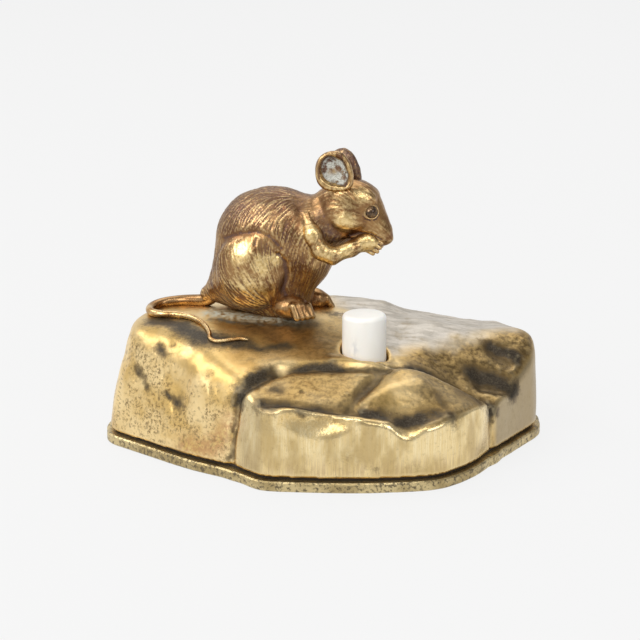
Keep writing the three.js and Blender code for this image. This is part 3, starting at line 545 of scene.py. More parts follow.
# Finish of the rock, placed by the drawing: dark filled lines, dents and patches
rockFinish = {
    # path, width, strength of the dark lines: patina, and painted shadow along the tail and at the foot of
    # the mouse
    "dark": [
        ([(-18.1, -22, 17.9), (-15.5, -19, 20.4), (-12, -16.5, 22.5)], 2.5, 1.15),
        ([(-12.7, -27.4, 18.6), (-8, -28, 18.4)], 2.1, 1.0),
        ([(-8, -28, 18.4), (-2, -28.8, 18), (4, -28.8, 17.4), (9.8, -28.9, 16.2)], 1.6, 1.0),
        ([(9.8, -28, 16.2), (15, -28.4, 14.6), (22, -27, 14.4), (28, -25.5, 15)], 2.1, 1.15),
        ([(7.5, -25, 18.9), (12.6, -18, 21.5)], 1.3, 0.8),
        ([(-5, -15.2, 23.2), (-2.2, -14, 22.8), (4.6, -15, 22.2)], 2.0, 1.1),
        ([(4.6, -15, 22.2), (14.5, -14.5, 22.1), (21, -10, 22.1)], 1.0, 0.75),
        ([(21, -11, 22), (28.6, -11, 17), (34, -11.6, 14.5), (38.5, -12.6, 12.5)], 2.6, 1.15),
        ([(39.4, 4.8, 22.1), (42.4, 4.0, 21.2), (45.2, 2.9, 20)], 2.1, 1.15),
        ([(34.5, -3.0, 18.2), (39.5, -3.4, 16.2), (45, -3.6, 14)], 2.6, 1.15),
        ([(31, -16, 18), (35, -16, 16)], 2.6, 0.5),
        ([(25.5, -21, 18.4), (29.5, -26, 15.6)], 1.3, 0.6),
        # painted shadow: a dark strip along the front of the tail
        ([(-37.6, 7.0, 28.0), (-32.3, 3.2, 27.9), (-27.3, -3.6, 26.5), (-18.1, -5.9, 25.8)], 3.2, 1.1),
        ([(-18.1, -5.9, 25.8), (-13.1, -8.5, 24.9), (-7.7, -7.0, 25.1)], 1.9, 0.95),
        # painted shadow: dark lines at the foot of the mouse's body, hind foot and chest
        ([(-26, 5.6, 28.8), (-14, 3.2, 28.2), (-3, 2.4, 27.4)], 1.0, 0.75),
        ([(-8, 4.5, 27.8), (-2, 3.0, 27.2)], 1.8, 0.55),
        ([(2.2, 10, 28.4), (6, 7, 27.8)], 2.0, 0.6),
        ([(-20.3, -23.4, 3), (-18.9, -22.4, 12), (-18.0, -21.4, 18)], 1.0, 0.8),
        ([(39.2, -12.9, 3), (38.8, -12.6, 14)], 1.0, 0.8),
        ([(-41.8, -1.4, 18.2), (-38.9, -4, 14.8)], 1.2, 0.95),
        ([(-34.8, -8.6, 15.2), (-32.5, -10.8, 13.6), (-30.6, -12.4, 13.4)], 1.2, 0.95),
        ([(-37.6, -5.8, 15), (-36.8, -6.8, 13)], 0.8, 0.55),
        ([(-36.6, -2.9, 24.4), (-35.4, -3.9, 23.2)], 1.6, 0.9),
        ([(-33.4, -3.8, 25.3), (-32.6, -4.4, 25)], 0.9, 0.5),
        ([(-24.8, -14.2, 21.4), (-23.6, -15, 21)], 1.2, 0.35),
        ([(-10.6, -22.4, 20.7), (-8.8, -23, 20.4)], 1.3, 0.65),
        ([(-7.5, -7.3, 24.9), (-5.2, -7.7, 24.8)], 1.0, 0.55),
    ],
    # centre, radius, depth
    "dents": [
        ((-40.4, -2.5, 16.6), 1.9, 0.4), ((-31.5, -8.8, 18.6), 6.0, 1.5), ((-46, 3, 20.5), 3.5, 0.9),
        ((-32.2, -10.9, 13.9), 2.3, 0.4), ((-35.8, -3.5, 24.0), 1.9, 0.3), ((-33.0, -4.1, 25.3), 1.5, 0.25),
        ((-24.3, -14.6, 21.2), 1.7, 0.25), ((-37.2, -6.3, 14.0), 1.7, 0.3),
        ((-4.4, -23.3, 20.2), 0.5, 0.35), ((31, -28.2, 8.5), 0.5, 0.3), ((12.2, -32.5, 6), 0.8, 0.25),
    ],
    "toolMarks": [(-45.4, 2.9, 17.1), (-45.9, 2.0, 13.8), (-46.8, 0.7, 6.5)],
    "copper": ([(-19.5, -23, 13.5), (-21.5, -21.9, 10), (-24, -20.5, 6.2), (-30, -15.2, 4.4)], 3.0),
    "bite": [(-7.5, -31.0, 16.6), (-1, -30.4, 16.4), (5, -31.0, 15.8)],
    "deposit": [(-25.2, 9.4, 28.9), (-19.8, 8.0, 28.9), (-12.8, 6.8, 28.7), (-5.0, 5.9, 28.2)],
    "waves": 0.26,          # height of the slow unevenness
    "pits": 0.10,
}


def finishRock(points, normals, outer):
    # offset along the normal and the patina masks, for points of the drawing
    x, y, z = points.T
    wall = ease((0.66 - normals[:, 2]) / 0.3)
    top = 1 - wall
    drift = 2.2 * noise(points, 6.0) + 1.2 * noise(points + 5, 2.4)
    leftWall = wall * ease((-17 - x - 0.5 * (y + 24)) / 4)
    lobeFront = wall * ease((x + 19) / 2) * ease((39.4 - x) / 1.5) * ease((-8 - y) / 4)
    rim = 18.4 - 0.26 * np.clip(x, 0, 20)
    lip = ease((0.92 - normals[:, 2]) / 0.3) * ease((-30 - y) / 1.2) * ease((x + 16) / 2)
    belowRim = ease((-29 - y) / 1.5) * ease((rim - 1.5 - z) / 1.5) * ease((x + 16) / 2)
    lobeFront = np.maximum(np.maximum(lobeFront, lip), belowRim)
    top = top * (1 - lobeFront)
    # painted shade: the right wall is darkened in colour
    shadedWalls = wall * ease((x - 38.5) / 2)
    topGrey = ease((x - 2 + 0.3 * (y - 8) + drift) / 8)
    topGrey = topGrey * ease((y + 7 - 0.56 * (x - 17.5) + drift) / 7) * top
    slant = top * ease((x - 14) / 8) * ease((y + 14) / 3) * (1 - topGrey)
    lobeTop = top * ease((-12 - y) / 4) * ease((x + 17) / 4) * ease((y + 30.6) / 2.5)
    # the brown thins out on the bump at (16, -22): a painted highlight there
    lobeTop = 0.86 * lobeTop * (1 - 0.6 * np.exp(-((x - 16) ** 2 + (y + 22) ** 2) / 22))
    frontTop = top * ease((10 - y) / 6) * ease((y + 16) / 4) * ease((22 - x) / 8) * ease((x + 24) / 8)
    frontTop = 0.7 * frontTop * (1 - topGrey)
    leftTop = 0.3 * top * ease((-16 - x) / 8)
    # painted shade on the lobe's left facet, so that it stands apart from the front
    shadedWalls = np.maximum(shadedWalls, 0.4 * lobeFront * ease((-12.2 - x) / 1.5))
    calm = 1 - 0.5 * shadedWalls
    height = rockFinish["waves"] * calm * noise(points, 8.5)
    height = height + 0.28 * lobeFront * calm * noise(points + 13, 5.0)
    height = height + 0.12 * calm * noise(points + 31, 3.6) + 0.2 * leftWall * noise(points + 71, 5.0)
    pits = np.maximum(noise(points + 57, 0.9) - 0.1, 0) / 0.9
    height = height - rockFinish["pits"] * pits * (0.3 + leftWall) * (1 - lobeFront)
    height = height + 0.08 * (slant + lobeTop) * noise(points, 1.15)
    height = height + 0.05 * topGrey * noise(points, (7, 1.4, 1.4)) + 0.08 * topGrey * noise(points, 2.6)
    # broken edges: the lines are looked up at places pushed about by noise
    wander = np.stack([noise(points + away, 3.1) for away in (9, 23, 0)], 1)
    wander = wander + 0.5 * np.stack([noise(points + away, 1.2) for away in (3, 17, 41)], 1)
    dark = np.zeros(len(points))
    for path, width, strength in rockFinish["dark"]:
        dark = np.maximum(dark, strength * alongLine(points + 0.8 * wander, path, width))
    for centre, radius, depth in rockFinish["dents"]:
        near = np.exp(-((points + 0.5 * wander - centre) ** 2).sum(1) / radius ** 2)
        height = height - depth * near
    tool = alongLine(points, rockFinish["toolMarks"], 1.1)
    height = height - 0.3 * tool * (0.5 + 0.5 * np.sin(2 * math.pi * (z + 0.6 * x) / 1.15))
    copperPath, copperWidth = rockFinish["copper"]
    masks = {
        "dark": dark,
        "leftWall": leftWall,
        "polish": lobeFront,
        "shadedWalls": shadedWalls,
        "warm": np.maximum(np.maximum(slant, frontTop), np.maximum(lobeTop, leftTop)),
        "grey": topGrey,
        "copper": alongLine(points, copperPath, copperWidth),
        "bite": alongLine(points + 0.4 * wander, rockFinish["bite"], 2.3) * lobeFront,
        "foot": lobeFront * ease((9.5 - z) / 5),
        "deposit": alongLine(points + 0.5 * wander, rockFinish["deposit"], 2.9) * ease((z - 26.5) / 1),
    }
    return height * outer, {key: value * outer for key, value in masks.items()}


# single colours, and pairs from the darker patches to the lighter
rockColours = {
    "brass": ((0.74, 0.50, 0.18), (0.97, 0.74, 0.38)),
    "brushed": ((0.88, 0.68, 0.34), (0.96, 0.79, 0.46)),
    "brown": ((0.12, 0.074, 0.029), (0.45, 0.30, 0.115)),
    "satin": ((0.46, 0.42, 0.36), (0.64, 0.59, 0.52)),
    "charcoal": ((0.024, 0.019, 0.014), (0.065, 0.053, 0.038)),
    "coppery": (0.42, 0.25, 0.10),
    "sweep": (0.54, 0.385, 0.16),
    "bite": (0.85, 0.58, 0.22),
    # painted shade of the right wall and the lobe's left facet
    "shadedWalls": (0.36, 0.29, 0.185),
    "blotch": (0.32, 0.25, 0.15),
    "copper": (0.50, 0.235, 0.12),
    "dirt": (0.19, 0.115, 0.045),
    "halo": (0.15, 0.095, 0.04),
    # painted highlight on convex edges
    "edge": (0.88, 0.71, 0.41),
    "crust": (0.54, 0.55, 0.47),
}


def makeRockMaterial():
    material, tree, shader = newMaterial("cast_brass")
    names = ("dark", "leftWall", "polish", "shadedWalls", "warm", "grey", "copper", "bite", "foot", "deposit",
             "hollow", "broad")
    mask = {name: readAttribute(tree, name) for name in names}
    tint = rockColours
    cloud = grain(tree, 9, 4)
    speckle = grain(tree, 1.1, 5, roughness=0.65)
    fine = grain(tree, 0.35, 3)
    sand = grain(tree, 0.75, 5, roughness=0.75)
    brush = grain(tree, 0.35, 3, (1, 1, 26))
    streak = grain(tree, 1.3, 4, (5, 1, 1))
    brass = mixColour(tree, between(tree, cloud, 0.35, 0.65), *tint["brass"])
    brushed = mixColour(tree, between(tree, brush, 0.35, 0.65), *tint["brushed"])
    coppery = times(tree, mask["foot"], between(tree, brush, 0.42, 0.6))
    brushed = mixColour(tree, times(tree, coppery, 0.5), brushed, tint["coppery"])
    sweep = between(tree, grain(tree, 6, 3, (1, 1, 2.2)), 0.42, 0.62)
    brushed = mixColour(tree, times(tree, sweep, 0.75), brushed, tint["sweep"])
    bite = times(tree, mask["bite"], between(tree, speckle, 0.25, 0.6))
    brushed = mixColour(tree, times(tree, bite, 0.7), brushed, tint["bite"])
    brass = mixColour(tree, mask["polish"], brass, brushed)
    # painted shade: darker brass on the right wall and the lobe's left facet
    brass = mixColour(tree, times(tree, mask["shadedWalls"], 0.85), brass, tint["shadedWalls"])
    brown = mixColour(tree, between(tree, speckle, 0.35, 0.65), *tint["brown"])
    brass = mixColour(tree, times(tree, mask["warm"], 0.92), brass, brown)
    satin = mixColour(tree, between(tree, streak, 0.32, 0.66), *tint["satin"])
    blotch = between(tree, grain(tree, 3, 4), 0.52, 0.72)
    satin = mixColour(tree, times(tree, blotch, 0.45), satin, tint["blotch"])
    brass = mixColour(tree, mask["grey"], brass, satin)
    copperAt = times(tree, mask["copper"], between(tree, speckle, 0.36, 0.56))
    brass = mixColour(tree, times(tree, copperAt, 0.6), brass, tint["copper"])
    # pits on the left wall hold dark dirt
    clumps = between(tree, grain(tree, 6, 3), 0.38, 0.6)
    pitAt = times(tree, between(tree, sand, 0.47, 0.62), times(tree, clumps, mask["leftWall"]))
    brass = mixColour(tree, times(tree, pitAt, 0.85), brass, tint["dirt"])
    # charcoal fills the drawn lines (patina, and painted shadow along the tail and at the foot of the
    # mouse), and creases and valleys away from the polished front
    unpolished = remainder(tree, mask["polish"])
    creased = times(tree, between(tree, mask["hollow"], 0.004, 0.05), unpolished)
    valley = times(tree, between(tree, mask["broad"], 0.10, 0.34), unpolished)
    filled = larger(tree, times(tree, creased, 0.45), times(tree, valley, 0.55))
    broken = plus(tree, mask["dark"], swing(tree, speckle, 1.1))
    broken = plus(tree, broken, swing(tree, fine, 0.5))
    filled = larger(tree, filled, times(tree, between(tree, broken, 0.15, 1.05), 0.95))
    charcoal = mixColour(tree, between(tree, fine, 0.4, 0.65), *tint["charcoal"])
    halo = times(tree, between(tree, broken, 0.0, 0.6), 0.6)
    colour = mixColour(tree, halo, brass, tint["halo"])
    colour = mixColour(tree, filled, colour, charcoal)
    # painted highlight: convex edges are made lighter
    edge = between(tree, mask["hollow"], -0.012, -0.06)
    colour = mixColour(tree, times(tree, edge, 0.18), colour, tint["edge"])
    crust = times(tree, mask["deposit"], between(tree, speckle, 0.28, 0.62))
    colour = mixColour(tree, times(tree, crust, 0.95), colour, tint["crust"])
    dull = larger(tree, times(tree, filled, 0.55), crust)
    metal = remainder(tree, times(tree, dull, 0.8))
    rough = mixValue(tree, mask["polish"], 0.28, 0.15)
    rough = mixValue(tree, mask["grey"], rough, 0.48)
    rough = plus(tree, rough, times(tree, speckle, 0.14))
    rough = mixValue(tree, filled, rough, 0.46)
    rough = mixValue(tree, crust, rough, 0.85)
    setInputs(tree, shader, {"Base Color": colour, "Metallic": metal, "Roughness": rough,
                             "Specular IOR Level": 0.25})
    relief = plus(tree, speckle, times(tree, brush, 0.12))
    relief = plus(tree, relief, times(tree, fine, 0.3))
    setBump(tree, shader, relief, 0.5, 0.11)
    return material


def makeRock():
    points, quads = castNet(shellField, rockShape["low"], rockShape["high"], rockShape["step"])
    normals = vertexNormals(points, quads)
    depth = rockField(points.T)
    # 1 on the outer skin, 0 at the foot, in the holes and inside
    outer = ease((depth + 1.2) / 1.0) * ease((points[:, 2] - 0.15) / 0.8)
    fromHole = pillar(points.T, drawing["button"], rockShape["buttonHole"])
    outer = outer * ease((fromHole - 0.2) / 1.0)
    around = np.hypot(points[:, 0] - bushAt[0], points[:, 2] - bushAt[2])
    nearBush = (points[:, 1] > rockShape["rearFrom"]) & (around < rockShape["bushPlain"])
    outer = np.where(nearBush, 0, outer)
    drawn = points + (0, 0, rockFoot)
    height, masks = finishRock(drawn, normals, outer)
    drawn = drawn + height[:, None] * normals
    drawn[:, 2] = np.maximum(drawn[:, 2], rockFoot)
    normals = vertexNormals(drawn, quads)
    masks["hollow"] = np.clip(hollowness(drawn, quads, normals, 2), -0.2, 0.2) * outer
    masks["broad"] = np.clip(hollowness(drawn, quads, normals, 40), -1, 1) * outer
    rock = meshPiece("rock_casting", drawn, quads, makeRockMaterial(), masks)
    group = rock.vertex_groups.new(name="inner")
    inner = np.nonzero(depth < -1.4)[0]
    group.add(inner.tolist(), 1.0, "REPLACE")
    thin = rock.modifiers.new("Thin inside", "DECIMATE")
    thin.vertex_group = "inner"
    thin.use_collapse_triangulate = True
    thin.ratio = 1 - (1 - rockShape["innerShare"]) * len(inner) / len(points)
    applyModifiers(rock)
    seat(rock, "rock_and_mouse", "rock_bronze", "rock_shell")
    print("rock", len(rock.data.polygons), "faces")


makeRock()

# Base plate and fibre sheet, cut to the rock's outline

plateShape = {
    "margin": 0.9,          # plate beyond the rock's foot
    "sheetMargin": -1.1,
    "middle": (0.0, 3.0),
    "spokes": 720,
    "search": (5.0, 70.0),  # from the middle, where the outline is looked for
    "chamfer": 0.3,
    "headRadius": 2.8,
    "shankRadius": 1.5,
    "recess": 0.3,
}


def outlineAt(level, spokes):
    angle = np.linspace(0, 2 * math.pi, spokes, endpoint=False)
    near, far = (np.full(spokes, reach) for reach in plateShape["search"])
    for turn in range(40):
        middle = (near + far) / 2
        x = plateShape["middle"][0] + middle * np.cos(angle)
        y = plateShape["middle"][1] + middle * np.sin(angle)
        out = rockOutside(x, y, 0 * x, rockShape["plateGroove"]) > level
        far = np.where(out, middle, far)
        near = np.where(out, near, middle)
    return np.stack([x, y], 1)


def ringQuads(rings, sides):
    quads = []
    for base in range(0, (rings - 1) * sides, sides):
        for i in range(sides):
            j = (i + 1) % sides
            quads.append((base + i, base + j, base + sides + j, base + sides + i))
    return quads


def slab(name, rings, material):
    # rings from bottom to top: level of the outline and height, closed by flat ends
    spokes = plateShape["spokes"]
    points = []
    for level, height in rings:
        outline = outlineAt(level, spokes)
        z = np.full(spokes, height)
        ring = np.column_stack([outline, z])
        file = noise(ring, (2.2, 2.2, 6)) * 0.06 + noise(ring, 0.8) * 0.03
        away = outline - plateShape["middle"]
        ring[:, :2] += file[:, None] * away / np.linalg.norm(away, axis=1)[:, None]
        points.append(ring)
    points = toMetres(np.concatenate(points))
    faces = ringQuads(len(rings), spokes)
    faces.append(tuple(range(spokes - 1, -1, -1)))
    faces.append(tuple(range((len(rings) - 1) * spokes, len(rings) * spokes)))
    mesh = bpy.data.meshes.new(name)
    mesh.from_pydata(points.tolist(), [], faces)
    mesh.materials.append(material)
    return addObject(name, mesh)


def turnedMesh(name, profile, centre, sides, axis="z"):
    # profile of (radius, along) in millimetres; ends on the axis, or closes on itself
    build = bmesh.new()
    closed = profile[0][0] > 0
    rings = []
    for radius, along in profile:
        ring = []
        for i in range(sides if radius > 0 else 1):
            angle = 2 * math.pi * i / sides
            a, b = radius * math.cos(angle), radius * math.sin(angle)
            place = (a, b, along) if axis == "z" else (b, along, a)
            ring.append(build.verts.new(toMetres(np.add(place, centre))))
        rings.append(ring)
    pairs = list(zip(rings[:-1], rings[1:]))
    if closed:
        pairs.append((rings[-1], rings[0]))
    for lower, upper in pairs:
        for i in range(sides):
            j = (i + 1) % sides
            face = []
            for ring, number in ((lower, i), (lower, j), (upper, j), (upper, i)):
                corner = ring[number % len(ring)]
                if corner not in face:
                    face.append(corner)
            build.faces.new(face)
    bmesh.ops.recalc_face_normals(build, faces=build.faces)
    mesh = bpy.data.meshes.new(name)
    build.to_mesh(mesh)
    build.free()
    return mesh


screwNodes = {"base_screw": ["base_screw_%d" % n for n in (1, 2, 3, 4)],
              "block_screw": ["block_screw_1", "block_screw_2"]}


def cutScrewHoles(piece, profile, sides):
    for node in screwNodes["base_screw"] + screwNodes["block_screw"]:
        low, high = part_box(node)
        place = ((low.x + high.x) / (2 * mm) - shift[0], (low.y + high.y) / (2 * mm) - shift[1], 0)
        cutter = addObject("cutter", turnedMesh("cutter", profile, place, sides))
        hole = piece.modifiers.new("hole", "BOOLEAN")
        hole.object = cutter
        hole.solver = "EXACT"
        applyModifiers(piece)
        bpy.data.objects.remove(cutter)


def makePlateMaterial():
    material, tree, shader = newMaterial("filed_brass")
    speckle = grain(tree, 0.8, 5, roughness=0.65)
    cloud = grain(tree, 7, 3)
    file = grain(tree, 0.25, 3, (1, 1, 9))
    brass = mixColour(tree, between(tree, cloud, 0.35, 0.65), (0.44, 0.335, 0.16), (0.68, 0.545, 0.29))
    dirt = between(tree, speckle, 0.48, 0.62)
    colour = mixColour(tree, times(tree, dirt, 0.85), brass, (0.075, 0.055, 0.03))
    setInputs(tree, shader, {"Base Color": colour, "Metallic": remainder(tree, times(tree, dirt, 0.5)),
                             "Roughness": plus(tree, 0.3, times(tree, speckle, 0.2))})
    setBump(tree, shader, plus(tree, file, speckle), 0.5, 0.08)
    return material


def makeFibreMaterial():
    material, tree, shader = newMaterial("pressed_fibre")
    fibre = grain(tree, 0.5, 4, (4, 4, 0.4))
    colour = mixColour(tree, fibre, (0.012, 0.009, 0.007), (0.06, 0.042, 0.028))
    setInputs(tree, shader, {"Base Color": colour, "Roughness": 0.8})
    setBump(tree, shader, fibre, 0.4, 0.1)
    return material


def makePlate():
    margin, chamfer = plateShape["margin"], plateShape["chamfer"]
    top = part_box("base_plate")[1].z / mm
    # the filed edge waves a little on its way up
    rings = [(margin - chamfer, 0), (margin, chamfer), (margin + 0.03, 0.6), (margin - 0.02, 1.1),
             (margin + 0.02, 1.6), (margin, top - chamfer), (margin - chamfer, top)]
    plate = slab("base_plate_filed", rings, makePlateMaterial())
    head, shank, recess = (plateShape[key] for key in ("headRadius", "shankRadius", "recess"))
    above = top + 1
    countersunk = [(0, -1), (head, -1), (head, recess), (shank, recess + head - shank), (shank, above),
                   (0, above)]
    cutScrewHoles(plate, countersunk, 32)
    seat(plate, "rock_and_mouse", "plate_brass", "base_plate")
    sheetLow, sheetHigh = (corner.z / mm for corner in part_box("insulating_sheet"))
    level = plateShape["sheetMargin"]
    rings = [(level, sheetLow), (level + 0.1, (sheetLow + sheetHigh) / 2), (level, sheetHigh)]
    sheet = slab("fibre_sheet", rings, makeFibreMaterial())
    cutScrewHoles(sheet, [(0, 1), (shank, 1), (shank, 5), (0, 5)], 24)
    seat(sheet, "rock_and_mouse", "fibre", "insulating_sheet")
    print("plate", len(plate.data.polygons), "and sheet", len(sheet.data.polygons), "faces")


makePlate()

# Mouse body

mouseBody = {
    # kind, sizes, rounding of its joint with what comes before; "pair" shapes stand on both sides
    "shapes": [
        ("egg", (-2.1, 0, 16.6), (12, 9.2, 12.3), 0, 1),
        ("egg", (1, 0, 18.5), (9.5, 8.6, 10.7), 0, 2),
        ("egg", (-5.2, 0, 7.2), (10.2, 8.5, 7.8), 0, 5),
        ("limb", (-11.5, 0, 5.2), (-16.5, 0, 3), (4.2, 1.9), 3),
        ("egg", (5.6, 0, 17.2), (6.8, 7, 8.8), 0, 4),
        ("egg", (1, 0, 5), (7.8, 6.5, 8.5), 0, 3),
        ("egg", (6.8, 0, 13), (6.3, 6.2, 6.8), 0, 3),
        ("limb", (6, 0, 19.4), (13.2, 0, 23.4), (6.2, 5.6), 3),
        ("egg", (14.2, 0, 19.8), (3.6, 4.9, 3.6), 0, 1.5),
        ("egg", (16.2, 0, 25.0), (6.9, 6.1, 6.3), 39, 2),
        ("egg", (17.6, 0, 27), (5.4, 5.3, 5.2), 0, 2),
        ("limb", (18.5, 0, 22.5), (24.3, 0, 18.9), (4.4, 2.2), 1.5),
        ("limb", (20.3, 0, 26.6), (24.5, 0, 20.2), (4.6, 2.9), 1.6),
        ("egg", (26.1, 0, 18.5), (1.5, 1.5, 1.35), 0, 0.8),
        ("pair egg", (17.4, 3.8, 23.5), (3.6, 2.7, 3.0), 0, 1.2),
        ("pair egg", (21.6, 2.5, 28.2), (2.2, 1.6, 1.6), 0, 1.0),
        ("pair egg", (-4.4, 6.7, 11), (8.2, 4.4, 9.3), 0, 0.7),
        ("pair egg", (16.4, 3.6, 29.2), (2.4, 1.6, 1.9), 0, 1.5),
    ],
    # creases cut on both flanks: side view path, width, depth
    "creases": [
        ([(-10.5, 18.2), (-6.4, 19.9), (-2.6, 20.6), (0.2, 20), (2.1, 18.4), (3.2, 17.2)], 0.75, 0.32),
        ([(2.5, 15.7), (3.9, 13.9), (4.2, 11.1), (3.3, 7.5), (3.6, 5.5)], 0.7, 0.4),
        ([(6.2, 28), (7.0, 25.5), (8.0, 21.5)], 1.0, 0.28),
        ([(11.6, 27), (12.7, 24.3), (14.5, 21.9), (16.6, 20.9), (19.5, 20.7)], 1.0, 0.3),
        ([(18.2, 19.6), (20.5, 20.3), (23, 20.2), (25.3, 18.9)], 0.4, 0.4),
        ([(-2.5, 19.2), (-2.7, 17.9)], 0.35, 0.13),
    ],
    "pits": [((2.6, 15.7), 0.55, 0.3), ((27.0, 19.0), 0.35, 0.4)],
    "low": (-20.5, -13, -6),
    "high": (30, 13, 36),
    "step": 0.25,
    "intoRock": 0.3,
}
eyeShape = {
    "centre": (22.9, 3.2, 25.3),
    "radius": 1.6,
    "facing": (0.42, 0.86, 0.28),   # of the ring of lids
    "lid": 0.2,
    "lidRadius": 1.6,
    "lidOut": 0.55,
}


def joinShapes(p, shapes):
    field = None
    mirrored = (p[0], np.abs(p[1]), p[2])
    for kind, *sizes in shapes:
        place = mirrored if kind.startswith("pair") else p
        if kind.endswith("egg"):
            centre, radii, pitch, rounding = sizes
            shape = egg(place, centre, radii, pitch)
        else:
            start, end, (startRadius, endRadius), rounding = sizes
            shape = limb(place, start, end, startRadius, endRadius)
        field = shape if field is None else smoothMin(field, shape, rounding)
    return field


def aboveRock(p):
    # height of points of the mouse's frame over the rock
    return p[2] - drawing["mouseSink"] + drawing["perch"] - rockTop(*mousePlan(p[0], p[1]))


def bodyField(p):
    x, y, z = p
    field = joinShapes(p, mouseBody["shapes"])
    flank = ease((np.abs(y) - 1.5) / 2)
    for path, width, depth in mouseBody["creases"]:
        field = field + depth * flank * np.exp(-planDistance(x, z, path) / width ** 2)
    for (px, pz), width, depth in mouseBody["pits"]:
        field = field + depth * flank * np.exp(-((x - px) ** 2 + (z - pz) ** 2) / width ** 2)
    out = np.array(eyeShape["facing"]) / np.linalg.norm(eyeShape["facing"])
    centre = eyeShape["centre"]
    side = (x - centre[0], np.abs(y) - centre[1], z - centre[2])
    along = sum(side[i] * out[i] for i in range(3))
    across = np.sqrt(np.maximum(sum(part ** 2 for part in side) - along ** 2, 0))
    lids = np.hypot(across - eyeShape["lidRadius"], along - eyeShape["lidOut"]) - eyeShape["lid"]
    field = smoothMin(field, lids, 0.5)
    socket = np.sqrt(sum(part ** 2 for part in side)) - eyeShape["radius"] + 0.12
    field = smoothMax(field, -socket, 0.15)
    return smoothMax(field, -(aboveRock(p) + mouseBody["intoRock"]), 0.3)


# Chased fur: place on one flank, direction of the strokes, their depth
furFlow = [
    ((8, 0, 27.5), (-1, 0, 0), 0.10), ((0, 0, 29), (-1, 0, -0.1), 0.15),
    ((-9, 0, 25), (-0.7, 0, -0.7), 0.17), ((-12.5, 0, 17), (-0.15, 0, -1), 0.17),
    ((-2, 8, 24), (-0.55, 0.2, -0.8), 0.20), ((2, 9, 20), (-0.3, 0.1, -1), 0.19),
    ((-8, 8, 21), (-0.2, 0, -1), 0.20), ((5.5, 7, 24), (-0.5, 0, -0.8), 0.15),
    ((-5, 9.6, 17), (0.25, 0, -1), 0.05), ((-6, 10, 12), (0.55, 0, -0.8), 0.07),
    ((-4, 9, 5), (0.8, 0, -0.6), 0.15), ((0, 9.5, 9), (0.4, 0, -0.9), 0.10),
    ((-11, 6, 6), (0.7, 0, -0.7), 0.18), ((-12, 5, 12), (0.35, 0, -0.95), 0.17),
    ((-15, 0, 4), (0.6, 0, -0.5), 0.15), ((7, 6, 12), (-0.15, 0, -1), 0.12),
    ((4, 7, 7), (-0.2, 0, -1), 0.12), ((10, 0, 12), (-0.6, 0, -0.9), 0.12),
    ((10, 6, 25), (-0.85, 0, -0.35), 0.12), ((13, 5, 20), (-0.3, 0, -1), 0.10),
    ((17, 6, 23), (-0.9, 0, -0.3), 0.035), ((20, 3, 30), (-0.6, 0, 0.7), 0.07),
    ((25, 2, 22), (-0.7, 0, 0.6), 0.05), ((20, 5, 27), (-0.8, 0, 0.3), 0.05),
]
furStroke = {"cell": 0.26, "length": 2.6, "steps": 7}


def furAt(points):
    folded = points * (1, 0, 1)
    folded[:, 1] = np.abs(points[:, 1])
    weightSum = np.zeros(len(points))
    flow = np.zeros_like(points)
    depth = np.zeros(len(points))
    for place, direction, strokeDepth in furFlow:
        weight = 1 / (((folded - place) ** 2).sum(1) + 2) ** 2
        flow += weight[:, None] * np.asarray(direction, float) / np.linalg.norm(direction)
        depth += weight * strokeDepth
        weightSum += weight
    flow[:, 1] *= np.where(points[:, 1] < 0, -1, 1)
    flow /= np.maximum(np.linalg.norm(flow, axis=1), 1e-9)[:, None]
    return flow, depth / weightSum


def chasedStrokes(points, normals):
    # noise drawn out along the fur, so that it becomes strokes; about -1 to 1
    total = np.zeros(len(points))
    stride = furStroke["length"] / (2 * furStroke["steps"])
    for direction in (-1, 1):
        place = points.copy()
        for turn in range(furStroke["steps"]):
            total += noise(place, furStroke["cell"])
            flow, _ = furAt(place)
            flow = flow - (flow * normals).sum(1)[:, None] * normals
            flow = flow / np.maximum(np.linalg.norm(flow, axis=1), 0.3)[:, None]
            place = place + direction * stride * flow
    total /= total.std()
    return np.tanh(0.9 * total)


mouseColours = {
    "brown": ((0.19, 0.09, 0.038), (0.36, 0.205, 0.085)),
    "golden": ((0.72, 0.50, 0.20), (0.92, 0.70, 0.35)),
    "umber": ((0.055, 0.030, 0.028), (0.15, 0.085, 0.075)),
    "crust": ((0.36, 0.36, 0.31), (0.66, 0.66, 0.60)),
    # painted highlight on convex edges
    "edge": (0.82, 0.60, 0.30),
}


